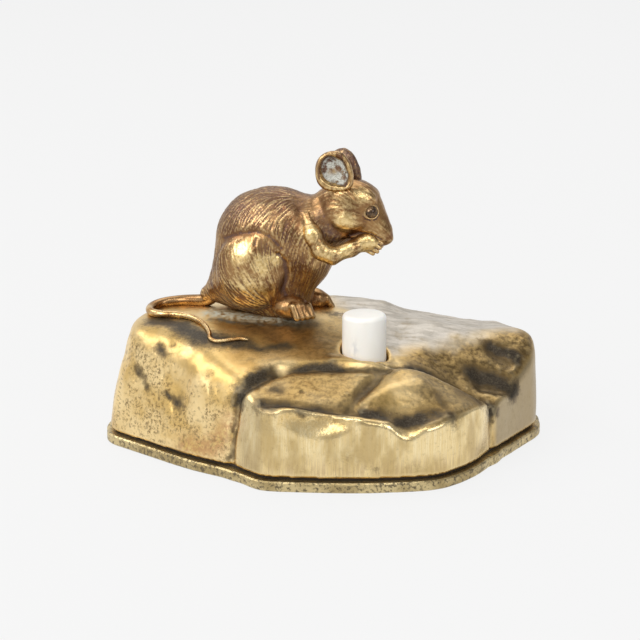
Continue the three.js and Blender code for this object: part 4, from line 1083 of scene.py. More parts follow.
def makeMouseMaterial():
    material, tree, shader = newMaterial("chased_bronze")
    names = ("hollow", "broad", "stroke", "wearAndHighlight", "crust", "shade")
    mask = {name: readAttribute(tree, name) for name in names}
    tint = mouseColours
    cloud = grain(tree, 5, 4)
    speckle = grain(tree, 0.7, 5, roughness=0.65)
    fine = grain(tree, 0.22, 2)
    brown = mixColour(tree, between(tree, cloud, 0.38, 0.62), *tint["brown"])
    golden = mixColour(tree, between(tree, speckle, 0.35, 0.65), *tint["golden"])
    # golden where the metal is worn, and painted highlights
    wearAndHighlightShare = plus(tree, mask["wearAndHighlight"], swing(tree, speckle, 0.6))
    wearAndHighlightShare = plus(tree, wearAndHighlightShare, times(tree, mask["stroke"], 0.28))
    colour = mixColour(tree, between(tree, wearAndHighlightShare, 0.16, 0.76), brown, golden)
    # painted highlight: convex edges are made lighter
    edge = between(tree, mask["hollow"], -0.004, -0.03)
    colour = mixColour(tree, times(tree, edge, 0.4), colour, tint["edge"])
    groove = times(tree, between(tree, mask["stroke"], -0.15, -0.9), 0.5)
    crease = between(tree, mask["hollow"], 0.006, 0.03)
    deep = between(tree, mask["broad"], 0.08, 0.3)
    dark = larger(tree, groove, times(tree, crease, 0.8))
    dark = larger(tree, dark, times(tree, deep, 0.85))
    # painted shade on the top of the back, the neck and the far ear, with dark patina at the throat and
    # chest
    dark = larger(tree, dark, times(tree, mask["shade"], between(tree, speckle, 0.25, 0.6)))
    umber = mixColour(tree, between(tree, fine, 0.35, 0.65), *tint["umber"])
    colour = mixColour(tree, dark, colour, umber)
    blotch = grain(tree, 1.7, 5, roughness=0.6)
    crust = times(tree, mask["crust"], between(tree, blotch, 0.38, 0.52))
    pale = mixColour(tree, between(tree, fine, 0.35, 0.65), *tint["crust"])
    colour = mixColour(tree, crust, colour, pale)
    dull = larger(tree, times(tree, dark, 0.45), times(tree, crust, 0.95))
    rough = plus(tree, 0.22, times(tree, speckle, 0.16))
    rough = mixValue(tree, dark, rough, 0.5)
    rough = mixValue(tree, crust, rough, 0.85)
    setInputs(tree, shader, {"Base Color": colour, "Metallic": remainder(tree, dull), "Roughness": rough})
    setBump(tree, shader, plus(tree, speckle, times(tree, fine, 0.5)), 0.4, 0.06)
    return material


mouseBronze = makeMouseMaterial()
# golden places of one flank, radius and strength: worn metal, and painted highlights on the haunch and head
wearAndHighlightPlaces = [
    ((-6, 10, 16), 3.4, 0.8), ((-1, 10, 13.5), 3.0, 0.85), ((17.5, 6.2, 23.5), 3.0, 0.8),
    ((21, 3.5, 29), 2.2, 0.8), ((-4, 9.5, 8), 6.5, 0.55), ((0, 6, 26), 7.0, 0.25), ((13, 7, 16), 4.0, 0.7),
    ((24.5, 2, 22), 3.0, 0.35), ((17, 5, 27), 5.0, 0.4), ((1.6, 9, 14.6), 1.8, 0.9),
    ((14.9, 6.2, 33.8), 5.0, 0.6), ((10, 7.8, 21), 3.0, 0.75), ((17.5, 6, 17), 3.0, 0.75),
    ((22.5, 4, 18), 3.0, 0.85),
]
# darker umber places: painted shade on the top of the back, at the neck and in the crease by the arm;
# partly dark patina at the throat and chest
shadedPlaces = [
    ((-2, 2, 28.5), 7, 0.75), ((-9, 3, 25), 6, 0.75), ((5, 2, 28), 5, 0.65), ((11.3, 5.2, 24.2), 2.0, 0.6),
    ((7.0, 5, 26), 1.6, 0.5), ((13.4, 5.2, 20.6), 2.2, 0.95), ((14.8, 4.6, 19), 2.0, 0.9),
    ((5, 7, 9), 3.2, 0.35), ((3.5, 8, 6.2), 1.6, 0.7),
]


def placeMask(points, places):
    folded = np.abs(points * (0, 1, 0)) + points * (1, 0, 1)
    mask = np.zeros(len(points))
    for centre, radius, strength in places:
        mask = np.maximum(mask, strength * np.exp(-((folded - centre) ** 2).sum(1) / radius ** 2))
    return mask


def bronzePiece(name, points, quads, stroke, node, crust=0.0, shade=0.0):
    normals = vertexNormals(points, quads)
    attributes = {
        "hollow": np.clip(hollowness(points, quads, normals, 2), -0.1, 0.1),
        "broad": np.clip(hollowness(points, quads, normals, 40), -1, 1),
        "stroke": stroke,
        "wearAndHighlight": placeMask(points, wearAndHighlightPlaces),
        "shade": np.maximum(placeMask(points, shadedPlaces), shade),
        "crust": np.zeros(len(points)) + crust,
    }
    piece = meshPiece(name, mouseToDrawing(points), quads, mouseBronze, attributes)
    seat(piece, "rock_and_mouse", "mouse_bronze", node)
    print(name, 2 * len(quads), "triangles")


def makeMouseBody():
    points, quads = castNet(bodyField, mouseBody["low"], mouseBody["high"], mouseBody["step"])
    normals = vertexNormals(points, quads)
    points = points - bodyField(points.T)[:, None] * normals
    stroke = chasedStrokes(points, normals)
    depth = furAt(points)[1]
    for path, width, _ in mouseBody["creases"]:
        near = np.exp(-planDistance(points[:, 0], points[:, 2], path) / (1.8 * width) ** 2)
        depth = depth * (1 - 0.8 * near)
    grit = placeMask(points, shadedPlaces)
    height = 0.42 * depth * stroke + 0.08 * grit * noise(points, 0.5)
    height = height + 0.10 * noise(points, 3.0) + 0.035 * noise(points, 0.9)
    height = height * ease((aboveRock(points.T) - 0.1) / 0.5)
    points = points + height[:, None] * normals
    bronzePiece("mouse_chased_body", points, quads, stroke * np.clip(depth / 0.15, 0, 1), "mouse_body")


makeMouseBody()

# Limbs

limbShape = {
    "foreleg": [
        ("limb", (8.2, 4.3, 23.8), (10.0, 6.0, 20.0), (1.8, 2.0), 1),
        ("limb", (10.0, 6.0, 20.0), (12.2, 6.5, 16.4), (2.0, 2.0), 1.5),
        ("limb", (12.2, 6.5, 16.4), (14.6, 6.2, 15.4), (2.0, 1.9), 1.2),
        ("limb", (14.6, 6.2, 15.4), (18.6, 4.6, 16.8), (1.9, 1.75), 1.2),
        ("limb", (18.6, 4.6, 16.8), (21, 3, 18), (1.75, 1.9), 1.0),
        ("egg", (21.9, 2.6, 18.1), (2.8, 1.9, 2.2), 0, 0.8),
    ],
    # fingers from knuckle to tip
    "fingers": [((22.6, 2.8, 19.2), (25.3, 2.3, 17.9)), ((22.3, 3.1, 18.4), (25.0, 2.7, 16.9)),
                ((21.9, 3.2, 17.6), (24.4, 2.8, 16.0)), ((21.4, 3.0, 16.8), (23.4, 2.7, 15.5))],
    "fingerRadius": (0.72, 0.5),
    "hindFoot": [("egg", (4.7, 5.9, 2.6), (4.5, 2.8, 2.8), 0, 1)],
    # toes curl down over the front of the foot: first one, and the step from toe to toe
    "toeTop": ((5.8, 8.2, 3.3), (1.0, -0.75, -0.1)),
    "toeTip": ((6.9, 8.8, 0.9), (1.0, -0.85, 0)),
    "toes": 4,
    "toeRadius": (0.9, 0.85),
    "farShift": (2.0, 1.1),   # ahead and down
    "step": 0.2,
}


def forelegField(p, side):
    place = (p[0], p[1] * side, p[2])
    field = joinShapes(place, limbShape["foreleg"])
    for knuckle, tip in limbShape["fingers"]:
        field = smoothMin(field, limb(place, knuckle, tip, *limbShape["fingerRadius"]), 0.22)
    return field


def hindFootField(p, side, ahead, drop):
    place = (p[0] - ahead, p[1] * side, p[2] + drop)
    field = joinShapes(place, limbShape["hindFoot"])
    (knuckle, knuckleStep), (tip, tipStep) = (np.array(limbShape[key]) for key in ("toeTop", "toeTip"))
    for toe in range(limbShape["toes"]):
        shape = limb(place, knuckle + toe * knuckleStep, tip + toe * tipStep, *limbShape["toeRadius"])
        field = smoothMin(field, shape, 0.5)
    return smoothMax(field, -(aboveRock(p) + mouseBody["intoRock"]), 0.2)


def hammered(points, quads):
    normals = vertexNormals(points, quads)
    stroke = chasedStrokes(points, normals)
    height = 0.07 * noise(points, 1.5) + 0.03 * noise(points, 0.7) + 0.015 * stroke
    return points + height[:, None] * normals, 0.35 * stroke


def makeLimb(name, node, field, low, high):
    points, quads = castNet(field, low, high, limbShape["step"])
    points, stroke = hammered(points, quads)
    bronzePiece(name, points, quads, stroke, node)


def makeLimbs():
    for name, side in (("near", -1), ("far", 1)):
        edges = sorted((side * 0.2, side * 10))
        low, high = (5, edges[0], 12), (27, edges[1], 28)
        makeLimb("mouse_arm_" + name, "mouse_foreleg_" + name, lambda p: forelegField(p, side), low, high)
        ahead, drop = (0.0, 0.0) if name == "near" else limbShape["farShift"]
        edges = sorted((side * 1.0, side * 11))
        low, high = (-2 + ahead, edges[0], -6), (13 + ahead, edges[1], 7)
        makeLimb("mouse_foot_" + name, "mouse_hind_foot_" + name,
                 lambda p: hindFootField(p, side, ahead, drop), low, high)


makeLimbs()

# Ears: a rolled rim between the outer outline and the opening, a bowl inside

earShape = {
    # across and up from the ear's middle
    "outer": [(4.2, -0.2), (3.7, 2.5), (1.6, 5.5), (-0.9, 5.6), (-3.1, 4.4), (-4.2, 1.2), (-4.2, -0.6),
              (-2.8, -2.7), (0.6, -3.5), (3.7, -3.0)],
    "opening": [(3.1, -0.9), (2.8, 1.5), (0.6, 4.2), (-1.2, 4.6), (-2.6, 3.4), (-2.9, 1.9), (-2.8, 0.4),
                (-1.8, -1.1), (0.3, -2.0), (2.3, -2.6)],
    # share of the opening, share of the way to the outer outline, height over the rim's plane
    "section": [(0, 0, -1.5), (0.35, 0, -1.45), (0.7, 0, -1.2), (0.92, 0, -0.6), (1, 0.12, 0.1),
                (1, 0.4, 0.42), (1, 0.75, 0.3), (1, 1.0, -0.3), (1, 0.97, -0.8), (0.95, 0.8, -1.4),
                (0.8, 0.5, -1.95), (0.45, 0.2, -2.35), (0, 0, -2.45)],
    "middle": (0.0, 0.8),   # of both outlines
    "crustRings": 13.5,     # of the smoothed section, from the bowl's middle
    "sides": 96,
    # middle, the way it faces, up
    "near": ((14.9, -5.4, 33.8), (0.15, -0.98, 0.1), (-0.12, 0, 1)),
    "far": ((16.0, 4.4, 32.8), (0.5, 0.82, 0.12), (-0.1, 0.2, 1)),
}


def roundOutline(corners, sides):
    # radius at even angles round the middle, softened between the corners
    middle = np.array(earShape["middle"])
    away = np.asarray(corners, float) - middle
    angle = np.arctan2(away[:, 1], away[:, 0])
    order = np.argsort(angle)
    even = np.linspace(-math.pi, math.pi, sides, endpoint=False)
    radius = np.interp(even, angle[order], np.linalg.norm(away, axis=1)[order], period=2 * math.pi)
    for turn in range(10):
        radius = (np.roll(radius, 1) + 2 * radius + np.roll(radius, -1)) / 4
    return middle + radius[:, None] * np.stack([np.cos(even), np.sin(even)], 1)


def smoothList(rows, steps):
    # curve through the rows, with this many steps between two of them
    rows = np.asarray(rows, float)
    padded = np.concatenate([rows[:1], rows, rows[-1:]])
    result = []
    for i in range(len(rows) - 1):
        a, b, c, d = padded[i:i + 4]
        for t in np.arange(steps) / steps:
            result.append(0.5 * (2 * b + (c - a) * t + (2 * a - 5 * b + 4 * c - d) * t ** 2
                                 + (3 * b - a - 3 * c + d) * t ** 3))
    return np.array(result + [rows[-1]])


def makeEar(name):
    centre, facing, up = (np.asarray(row, float) for row in earShape[name])
    facing = facing / np.linalg.norm(facing)
    up = up - up.dot(facing) * facing
    up = up / np.linalg.norm(up)
    right = np.cross(up, facing)
    sides = earShape["sides"]
    outer, opening = (roundOutline(earShape[key], sides) for key in ("outer", "opening"))
    if name == "far":
        outer, opening = outer * (-1, 1), opening * (-1, 1)
    section = smoothList(earShape["section"], 4)
    middle = opening.mean(0)
    points = []
    for share, outward, height in section:
        share = max(share, 0.02)
        ring = middle + share * (opening - middle) + outward * (outer - opening)
        points.append(centre + ring[:, :1] * right + ring[:, 1:] * up + height * facing)
    points = np.concatenate(points)
    rings = len(section)
    # pale crust in the bowl, with a bare spot
    crust = ease((earShape["crustRings"] - np.repeat(np.arange(rings), sides)) / 3)
    local = points - centre
    redAt = np.exp(-((local @ right + 0.3) ** 2 / 1.6 + (local @ up - 0.9) ** 2 / 0.5))
    crust = crust * (1 - 0.9 * redAt)
    quads = np.array(ringQuads(rings, sides))
    points = np.concatenate([points, points[:sides].mean(0)[None], points[-sides:].mean(0)[None]])
    crust = np.concatenate([crust, [crust[:sides].mean(), 0]])
    first, last = len(points) - 2, len(points) - 1
    caps = []
    for i in range(0, sides, 2):
        j, k = (i + 1) % sides, (i + 2) % sides
        caps.append((first, k, j, i))
        caps.append((last, last - 1 - sides + i, last - 1 - sides + j, last - 1 - sides + k))
    quads = np.concatenate([quads, np.array(caps)])
    if name == "near":
        quads = quads[:, ::-1]
    normals = vertexNormals(points, quads)
    if (normals * (points - points.mean(0))).sum() < 0:
        quads, normals = quads[:, ::-1], -normals
    stroke = noise(points, (0.5, 0.5, 1.6))
    points = points + (0.09 * noise(points, 1.1) + 0.04 * stroke)[:, None] * normals
    shade = 0.85 * crust
    # painted shade: the far ear is darkened all over
    if name == "far":
        crust = crust * 0.1
        shade = 0.85
    bronzePiece("mouse_cupped_ear_" + name, points, quads, stroke, "mouse_ear_" + name, crust, shade)


makeEar("near")
makeEar("far")

# Eyes

def makeEyeMaterial():
    material, tree, shader = newMaterial("eye_bead")
    cloud = grain(tree, 1.2, 3)
    colour = mixColour(tree, between(tree, cloud, 0.4, 0.6), (0.05, 0.03, 0.018), (0.20, 0.12, 0.055))
    setInputs(tree, shader, {"Base Color": colour, "Metallic": 0.5, "Roughness": times(tree, cloud, 0.3)})
    return material


def makeEyes():
    material = makeEyeMaterial()
    for name, side in (("near", -1), ("far", 1)):
        build = bmesh.new()
        bmesh.ops.create_uvsphere(build, u_segments=48, v_segments=32, radius=eyeShape["radius"] * mm)
        centre = np.array(eyeShape["centre"]) * (1, side, 1)
        place = toMetres(mouseToDrawing([centre]))[0]
        bmesh.ops.translate(build, verts=build.verts, vec=place)
        mesh = bpy.data.meshes.new("eye_bead_" + name)
        build.to_mesh(mesh)
        build.free()
        mesh.shade_smooth()
        mesh.materials.append(material)
        bead = addObject("eye_bead_" + name, mesh)
        seat(bead, "rock_and_mouse", "eye_glass", "mouse_eye_" + name)
    print("eyes set")


makeEyes()

# Tail: a tapering wire laid on the rock

tailShape = {
    # along and across the mouse, height of the middle line over its foot at the root
    "path": [(-14.5, 0, 3.2), (-15.7, 0, 2.7), (-19.4, 0.9, 1.6), (-23.3, 1.4, 1.0), (-27.1, 0.3, 0.5),
             (-29.0, -2.0, 0), (-29.3, -4.8, 0), (-28.0, -7.2, 0), (-25.4, -8.2, 0), (-21.8, -8.2, 0),
             (-18, -9.4, 0), (-14.4, -12.4, 0), (-12.1, -16, 0), (-11.2, -18.6, 0), (-9.4, -19.5, 0),
             (-6.9, -18.5, 0), (-4.5, -17.4, 0), (-2.6, -17.4, 0)],
    "rootRadius": 1.7,
    "tipRadius": 0.42,
    "taper": 1.7,           # how early it grows thin
    "sides": 20,
}


def newTree(name, sockets):
    # a geometry tree with these inputs, its sockets inside and their identifiers outside
    tree = bpy.data.node_groups.new(name, "GeometryNodeTree")
    face = tree.interface
    face.new_socket("Geometry", in_out="INPUT", socket_type="NodeSocketGeometry")
    named = {}
    for key, kind in sockets.items():
        named[key] = face.new_socket(key, in_out="INPUT", socket_type="NodeSocket" + kind).identifier
    face.new_socket("Geometry", in_out="OUTPUT", socket_type="NodeSocketGeometry")
    return tree, tree.nodes.new("NodeGroupInput").outputs, named


def endTree(tree, geometry, finish):
    real = addNode(tree, "GeometryNodeRealizeInstances", {"Geometry": geometry})
    inputs = {"Geometry": real.outputs["Geometry"], "Material": finish}
    done = addNode(tree, "GeometryNodeSetMaterial", inputs)
    addNode(tree, "NodeGroupOutput", {"Geometry": done.outputs["Geometry"]})


def fromTree(name, points, edges, tree, named, values):
    # evaluates a node tree on these points once and keeps the plain mesh
    mesh = bpy.data.meshes.new(name)
    mesh.from_pydata([tuple(p) for p in points], edges, [])
    piece = addObject(name, mesh)
    grow = piece.modifiers.new(name, "NODES")
    grow.node_group = tree
    for key, value in values.items():
        grow[named[key]] = value
    return applyModifiers(piece)


def makeTailTree():
    sockets = {"Root Radius": "Float", "Tip Radius": "Float", "Taper": "Float", "Sides": "Int",
               "Finish": "Material"}
    tree, given, named = newTree("Tapered wire", sockets)
    line = addNode(tree, "GeometryNodeMeshToCurve", {"Mesh": given["Geometry"]})
    along = addNode(tree, "GeometryNodeSplineParameter").outputs["Factor"]
    left = maths(tree, "POWER", remainder(tree, along), given["Taper"])
    inputs = {"Value": left, "To Min": given["Tip Radius"], "To Max": given["Root Radius"]}
    taper = addNode(tree, "ShaderNodeMapRange", inputs)
    # the last bit is drawn in, so that the tip is blunt and round
    inputs = {"Value": along, "From Min": 0.985, "From Max": 1.0, "To Min": 1.0, "To Max": 0.35}
    end = addNode(tree, "ShaderNodeMapRange", inputs)
    radius = times(tree, taper.outputs["Result"], end.outputs["Result"])
    inputs = {"Resolution": given["Sides"], "Radius": 1.0}
    ring = addNode(tree, "GeometryNodeCurvePrimitiveCircle", inputs)
    inputs = {"Curve": line.outputs["Curve"], "Scale": radius, "Profile Curve": ring.outputs["Curve"],
              "Fill Caps": True}
    wire = addNode(tree, "GeometryNodeCurveToMesh", inputs)
    smooth = addNode(tree, "GeometryNodeSetShadeSmooth", {"Geometry": wire.outputs["Mesh"]})
    endTree(tree, smooth.outputs["Geometry"], given["Finish"])
    return tree, named


def makeTailMaterial():
    material, tree, shader = newMaterial("rubbed_tail_bronze")
    cloud = grain(tree, 3, 4)
    speckle = grain(tree, 0.6, 4)
    colour = mixColour(tree, between(tree, cloud, 0.38, 0.62), (0.45, 0.25, 0.09), (0.74, 0.53, 0.26))
    colour = mixColour(tree, between(tree, speckle, 0.6, 0.72), colour, (0.16, 0.09, 0.05))
    # browner near the body, by metres to the rear
    place = addNode(tree, "ShaderNodeTexCoord").outputs["Object"]
    rearward = addNode(tree, "ShaderNodeSeparateXYZ", {0: place}).outputs["Y"]
    root = between(tree, rearward, 0.0065, 0.0125)
    colour = mixColour(tree, times(tree, root, 0.8), colour, (0.26, 0.13, 0.055))
    setInputs(tree, shader, {"Base Color": colour, "Metallic": 1.0,
                             "Roughness": plus(tree, 0.2, times(tree, speckle, 0.15))})
    setBump(tree, shader, speckle, 0.35, 0.05)
    return material


def makeTail():
    path = smoothList(tailShape["path"], 12)
    share = np.linspace(0, 1, len(path))
    thin = (1 - share) ** tailShape["taper"]
    radius = tailShape["tipRadius"] + (tailShape["rootRadius"] - tailShape["tipRadius"]) * thin
    laid = path.copy()
    laid[:, 2] = 0
    ground = -aboveRock(laid.T)
    seatHeight = ground + 0.85 * radius
    free = ease((share - 0.02) / 0.09)
    path[:, 2] = np.maximum(path[:, 2] * (1 - free) + seatHeight * free, seatHeight)
    for turn in range(3):
        path[1:-1] = (path[:-2] + 2 * path[1:-1] + path[2:]) / 4
    points = toMetres(mouseToDrawing(path))
    edges = [(i, i + 1) for i in range(len(points) - 1)]
    tree, named = makeTailTree()
    values = {"Root Radius": tailShape["rootRadius"] * mm, "Tip Radius": tailShape["tipRadius"] * mm,
              "Taper": tailShape["taper"], "Sides": tailShape["sides"], "Finish": makeTailMaterial()}
    tail = fromTree("mouse_wire_tail", points, edges, tree, named, values)
    seat(tail, "rock_and_mouse", "mouse_bronze", "mouse_tail")
    print("tail", len(tail.data.polygons), "faces")


makeTail()

# Push button and cord bush, both turned

turnedShape = {
    "shaft": 5.0, "edge": 1.1, "crown": 0.35,
    "flange": 6.75, "flangeThickness": 1.6,
    "nub": 2.2, "nubHeight": 1.0, "nubFlat": 1.3, "nubEnd": 0.3,
    "sides": 96,
    "bushBore": 1.9, "bushBody": 3.3, "bushFlange": 5.0, "bushFlangeThickness": 1.2,
}


def makeButtonMaterial():
    material, tree, shader = newMaterial("turned_bone")
    cloud = grain(tree, 4, 3, (1, 1, 3))
    colour = mixColour(tree, cloud, (0.83, 0.81, 0.755), (0.89, 0.875, 0.83))
    fleck = grain(tree, 1.0, 4, (1, 1, 2))
    stained = times(tree, readAttribute(tree, "stain"), between(tree, fleck, 0.4, 0.62))
    colour = mixColour(tree, times(tree, stained, 0.5), colour, (0.46, 0.48, 0.52))
    setInputs(tree, shader, {"Base Color": colour, "Roughness": plus(tree, 0.25, times(tree, cloud, 0.1)),
                             "Subsurface Weight": 0.15, "Subsurface Radius": (0.002, 0.0015, 0.001)})
    lathe = grain(tree, 0.3, 2, (20, 20, 1))
    setBump(tree, shader, lathe, 0.15, 0.03)
    return material


def makeButton():
    size = turnedShape
    top, bottom = buttonHigh.z / mm, buttonLow.z / mm
    flangeLow = bottom + size["nubHeight"]
    flangeHigh = flangeLow + size["flangeThickness"]
    profile = [(0, bottom), (size["nubFlat"], bottom + size["nubEnd"]), (size["nub"], flangeLow),
               (size["flange"] - 0.2, flangeLow), (size["flange"], flangeLow + 0.2),
               (size["flange"], flangeHigh - 0.2), (size["flange"] - 0.2, flangeHigh),
               (size["shaft"], flangeHigh)]
    shoulder = top - size["crown"] - size["edge"]
    for height in np.linspace(flangeHigh + 0.3, shoulder, 10):
        profile.append((size["shaft"], height))
    for angle in np.linspace(0, math.pi / 2, 9)[1:]:
        inward = size["edge"] * (1 - math.cos(angle))
        profile.append((size["shaft"] - inward, shoulder + size["edge"] * math.sin(angle)))
    face = size["shaft"] - size["edge"]
    for share in np.linspace(1, 0, 7)[1:]:
        profile.append((face * share, top - size["crown"] * share ** 2))
    mesh = turnedMesh("bone_button", profile, (*drawing["button"], 0), size["sides"])
    mesh.shade_smooth()
    points = np.array([v.co for v in mesh.vertices]) / mm - shift
    stainAt = (drawing["button"][0] - 2.4, drawing["button"][1] - 4.4, rockFoot + holeTop + 1.6)
    stain = np.exp(-(((points - stainAt) / (1.0, 2.0, 1.7)) ** 2).sum(1))
    addAttribute(mesh, "stain", stain)
    mesh.materials.append(makeButtonMaterial())
    seat(addObject("bone_button", mesh), "button", "bone", "push_button")
    print("button turned")


def makeRubberMaterial():
    material, tree, shader = newMaterial("turned_ebonite")
    cloud = grain(tree, 1.5, 4)
    colour = mixColour(tree, cloud, (0.008, 0.008, 0.008), (0.05, 0.042, 0.036))
    setInputs(tree, shader, {"Base Color": colour, "Roughness": plus(tree, 0.35, times(tree, cloud, 0.2))})
    setBump(tree, shader, cloud, 0.2, 0.04)
    return material


def makeBush():
    size = turnedShape
    front, rear = bushLow.y / mm - shift[1], bushHigh.y / mm - shift[1]
    step = rear - size["bushFlangeThickness"]
    bore, body, flange = size["bushBore"], size["bushBody"], size["bushFlange"]
    profile = [(bore + 0.2, front), (body - 0.2, front), (body, front + 0.2), (body, step), (flange, step),
               (flange, rear - 0.5), (flange - 0.15, rear - 0.15), (flange - 0.5, rear), (bore + 0.6, rear),
               (bore + 0.15, rear - 0.2), (bore, rear - 0.7), (bore, front + 0.2)]
    mesh = turnedMesh("ebonite_bush", profile, (bushAt[0], 0, bushAt[2] + rockFoot), 64, "y")
    mesh.materials.append(makeRubberMaterial())
    seat(addObject("ebonite_bush", mesh), "rock_and_mouse", "hard_rubber", "cord_bush")
    print("bush turned")


makeButton()
makeBush()

# Countersunk screws under the plate

screwShape = {"head": 2.6, "shank": 1.3, "slotWidth": 0.7, "slotDepth": 0.6, "sides": 32}


def makeScrewTree():
    sockets = {"Head Radius": "Float", "Shank Radius": "Float", "Length": "Float", "Slot Width": "Float",
               "Slot Depth": "Float", "Sides": "Int", "Finish": "Material"}
    tree, given, named = newTree("Countersunk screws", sockets)
    coneDepth = maths(tree, "SUBTRACT", given["Head Radius"], given["Shank Radius"])
    inputs = {"Vertices": given["Sides"], "Radius Top": given["Shank Radius"],
              "Radius Bottom": given["Head Radius"], "Depth": coneDepth}
    head = addNode(tree, "GeometryNodeMeshCone", inputs)
    inputs = {"Vertices": given["Sides"], "Radius": given["Shank Radius"], "Depth": given["Length"]}
    shank = addNode(tree, "GeometryNodeMeshCylinder", inputs)
    lift = addNode(tree, "ShaderNodeCombineXYZ", {"Z": times(tree, given["Length"], 0.5)})
    inputs = {"Geometry": shank.outputs["Mesh"], "Translation": lift.outputs[0]}
    raised = addNode(tree, "GeometryNodeTransform", inputs)
    slotLength = times(tree, given["Head Radius"], 3.0)
    slotHeight = times(tree, given["Slot Depth"], 2.0)
    inputs = {"X": slotLength, "Y": given["Slot Width"], "Z": slotHeight}
    slotSize = addNode(tree, "ShaderNodeCombineXYZ", inputs)
    slot = addNode(tree, "GeometryNodeMeshCube", {"Size": slotSize.outputs[0]})
    whole = addNode(tree, "GeometryNodeMeshBoolean", operation="UNION", solver="EXACT")
    for part in (head.outputs["Mesh"], raised.outputs["Geometry"]):
        tree.links.new(part, whole.inputs["Mesh 2"])
    cut = addNode(tree, "GeometryNodeMeshBoolean", {"Mesh 1": whole.outputs["Mesh"]},
                  operation="DIFFERENCE", solver="EXACT")
    tree.links.new(slot.outputs["Mesh"], cut.inputs["Mesh 2"])
    dots = addNode(tree, "GeometryNodeMeshToPoints", {"Mesh": given["Geometry"]})
    inputs = {"Points": dots.outputs["Points"], "Instance": cut.outputs["Mesh"]}
    copies = addNode(tree, "GeometryNodeInstanceOnPoints", inputs)
    endTree(tree, copies.outputs["Instances"], given["Finish"])
    return tree, named


def makeTurnedBrass(name, dark, light):
    material, tree, shader = newMaterial(name)
    cloud = grain(tree, 1.2, 4)
    turned = grain(tree, 0.15, 2, (1, 1, 0.4))
    colour = mixColour(tree, between(tree, cloud, 0.35, 0.65), dark, light)
    setInputs(tree, shader, {"Base Color": colour, "Metallic": 1.0,
                             "Roughness": plus(tree, 0.25, times(tree, cloud, 0.2))})
    setBump(tree, shader, turned, 0.25, 0.03)
    return material


screwBrass = makeTurnedBrass("turned_screw_brass", (0.42, 0.29, 0.12), (0.66, 0.50, 0.24))
springBrass = makeTurnedBrass("rolled_spring_brass", (0.55, 0.40, 0.16), (0.74, 0.58, 0.29))


def makeScrews():
    tree, named = makeScrewTree()
    for kind, nodes in screwNodes.items():
        boxes = [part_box(node) for node in nodes]
        points = [((low.x + high.x) / 2, (low.y + high.y) / 2, low.z) for low, high in boxes]
        values = {"Head Radius": screwShape["head"] * mm, "Shank Radius": screwShape["shank"] * mm,
                  "Length": boxes[0][1].z - boxes[0][0].z, "Slot Width": screwShape["slotWidth"] * mm,
                  "Slot Depth": screwShape["slotDepth"] * mm, "Sides": screwShape["sides"],
                  "Finish": screwBrass}
        screws = fromTree(kind + "s", points, [], tree, named, values)
        seat(screws, "rock_and_mouse", "screw_brass", *nodes)
        print(kind, len(screws.data.polygons), "faces")


makeScrews()

# Contacts, studs and nuts inside the rock keep their solids

def makeWoodMaterial():
    material, tree, shader = newMaterial("oiled_hardwood")
    figure = grain(tree, 1.2, 5, (9, 1, 1))
    pore = grain(tree, 0.2, 3, (12, 1, 1))
    colour = mixColour(tree, between(tree, figure, 0.35, 0.65), (0.055, 0.022, 0.010), (0.17, 0.075, 0.033))
    pored = times(tree, between(tree, pore, 0.58, 0.7), 0.6)
    colour = mixColour(tree, pored, colour, (0.02, 0.01, 0.006))
    setInputs(tree, shader, {"Base Color": colour, "Roughness": plus(tree, 0.4, times(tree, figure, 0.2))})
    setBump(tree, shader, pore, 0.3, 0.05)
    return material


def dressInside():
    finishes = {"screw_brass": screwBrass, "spring_brass": springBrass, "block_wood": makeWoodMaterial()}
    slots = {part["node"]: part["material_slot"] for part in frame["record"]["subparts"]}
    for name, node in frame["nodes"].items():
        if node.hide_render:
            continue
        node.data.materials.clear()
        node.data.materials.append(finishes[slots[name]])
        print("kept", name)


dressInside()

# Stage

stageLook = {
    "floorSize": 14.0,
    "floor": (0.72, 0.72, 0.715, 1),
    "backdrop": (0.92, 0.92, 0.92, 1),
    "glow": 0.9,            # share of the backdrop in what is seen of the floor
    "horizon": 0.40,        # light of the room, level and from above
    "zenith": 0.38,
    "fromLeft": 0.36,
    "fromBehind": 0.30,
    "aim": (0.0, 0.0, 30.0),
    "elevation": 16.0,
    "distance": 520.0,
    "lens": 127.8,
}
# name, place in metres, watts, width and height
lamps = [
    ("left softbox", (-0.50, -0.55, 0.52), 3.1, 0.45, 0.45),
    ("side window", (-0.60, 0.12, 0.60), 1.2, 0.28, 0.28),
    ("front strip", (0.02, -0.45, 0.72), 1.0, 0.30, 0.16),
    ("right softbox", (0.50, -0.62, 0.45), 1.3, 0.35, 0.35),
    ("back softbox", (0.05, 0.38, 0.76), 1.7, 0.60, 0.60),
]


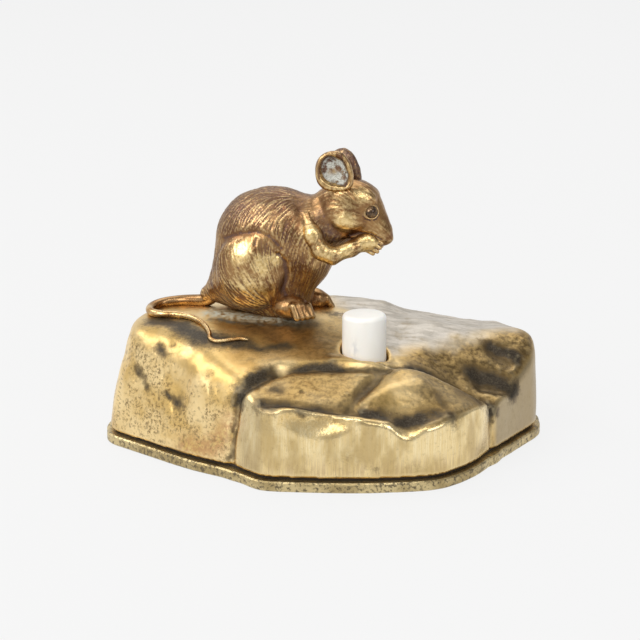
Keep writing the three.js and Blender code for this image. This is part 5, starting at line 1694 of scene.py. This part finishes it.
def makeFloor():
    size = stageLook["floorSize"] / 2
    mesh = bpy.data.meshes.new("floor")
    corners = [(-size, -size, 0), (size, -size, 0), (size, size, 0), (-size, size, 0)]
    mesh.from_pydata(corners, [], [(0, 1, 2, 3)])
    material, tree, shader = newMaterial("pale_floor")
    setInputs(tree, shader, {"Base Color": stageLook["floor"], "Roughness": 0.6, "Specular IOR Level": 0.2})
    glow = addNode(tree, "ShaderNodeEmission", {"Color": stageLook["backdrop"], "Strength": 1.0})
    rays = addNode(tree, "ShaderNodeLightPath")
    seen = larger(tree, rays.outputs["Is Camera Ray"], rays.outputs["Is Glossy Ray"])
    seen = larger(tree, seen, rays.outputs["Is Transmission Ray"])
    seen = times(tree, seen, stageLook["glow"])
    blend = addNode(tree, "ShaderNodeMixShader", {0: seen, 1: shader.outputs[0], 2: glow.outputs[0]})
    tree.links.new(blend.outputs[0], tree.nodes["Material Output"].inputs["Surface"])
    mesh.materials.append(material)
    floor = addObject("floor", mesh)


def makeWorld():
    world = bpy.data.worlds.new("studio")
    bpy.context.scene.world = world
    world.use_nodes = True
    tree = world.node_tree
    background = tree.nodes["Background"]
    direction = addNode(tree, "ShaderNodeTexCoord").outputs["Generated"]
    parts = addNode(tree, "ShaderNodeSeparateXYZ", {0: direction}).outputs
    upward = between(tree, parts["Z"], 0.0, 0.9)
    leftward = between(tree, parts["X"], 0.6, -0.8)
    behind = between(tree, parts["Y"], 0.2, 0.9)
    level = mixValue(tree, upward, stageLook["horizon"], stageLook["zenith"])
    level = plus(tree, level, times(tree, leftward, stageLook["fromLeft"]))
    level = plus(tree, level, times(tree, behind, stageLook["fromBehind"]))
    setInputs(tree, background, {"Color": (1, 1, 1, 1), "Strength": level})


def addLamp(name, place, power, width, height):
    lamp = bpy.data.lights.new(name, "AREA")
    lamp.energy = power
    lamp.shape = "RECTANGLE"
    lamp.size = width
    lamp.size_y = height
    holder = addObject(name, lamp)
    holder.location = place
    holder.rotation_euler = (Vector((0, 0, 0.03)) - Vector(place)).to_track_quat("-Z", "Y").to_euler()


def makeCamera():
    camera = bpy.data.cameras.new("camera")
    camera.lens = stageLook["lens"]
    camera.sensor_width = 36
    holder = addObject("camera", camera)
    angle = math.radians(stageLook["elevation"])
    back = np.array([0, -math.cos(angle), math.sin(angle)]) * stageLook["distance"]
    holder.location = toMetres(np.array(stageLook["aim"]) + back)
    holder.rotation_euler = (math.pi / 2 - angle, 0, 0)
    bpy.context.scene.camera = holder


makeFloor()
makeWorld()
for lamp in lamps:
    addLamp(*lamp)
makeCamera()
bpy.context.scene.view_settings.view_transform = "Standard"
print("stage ready")
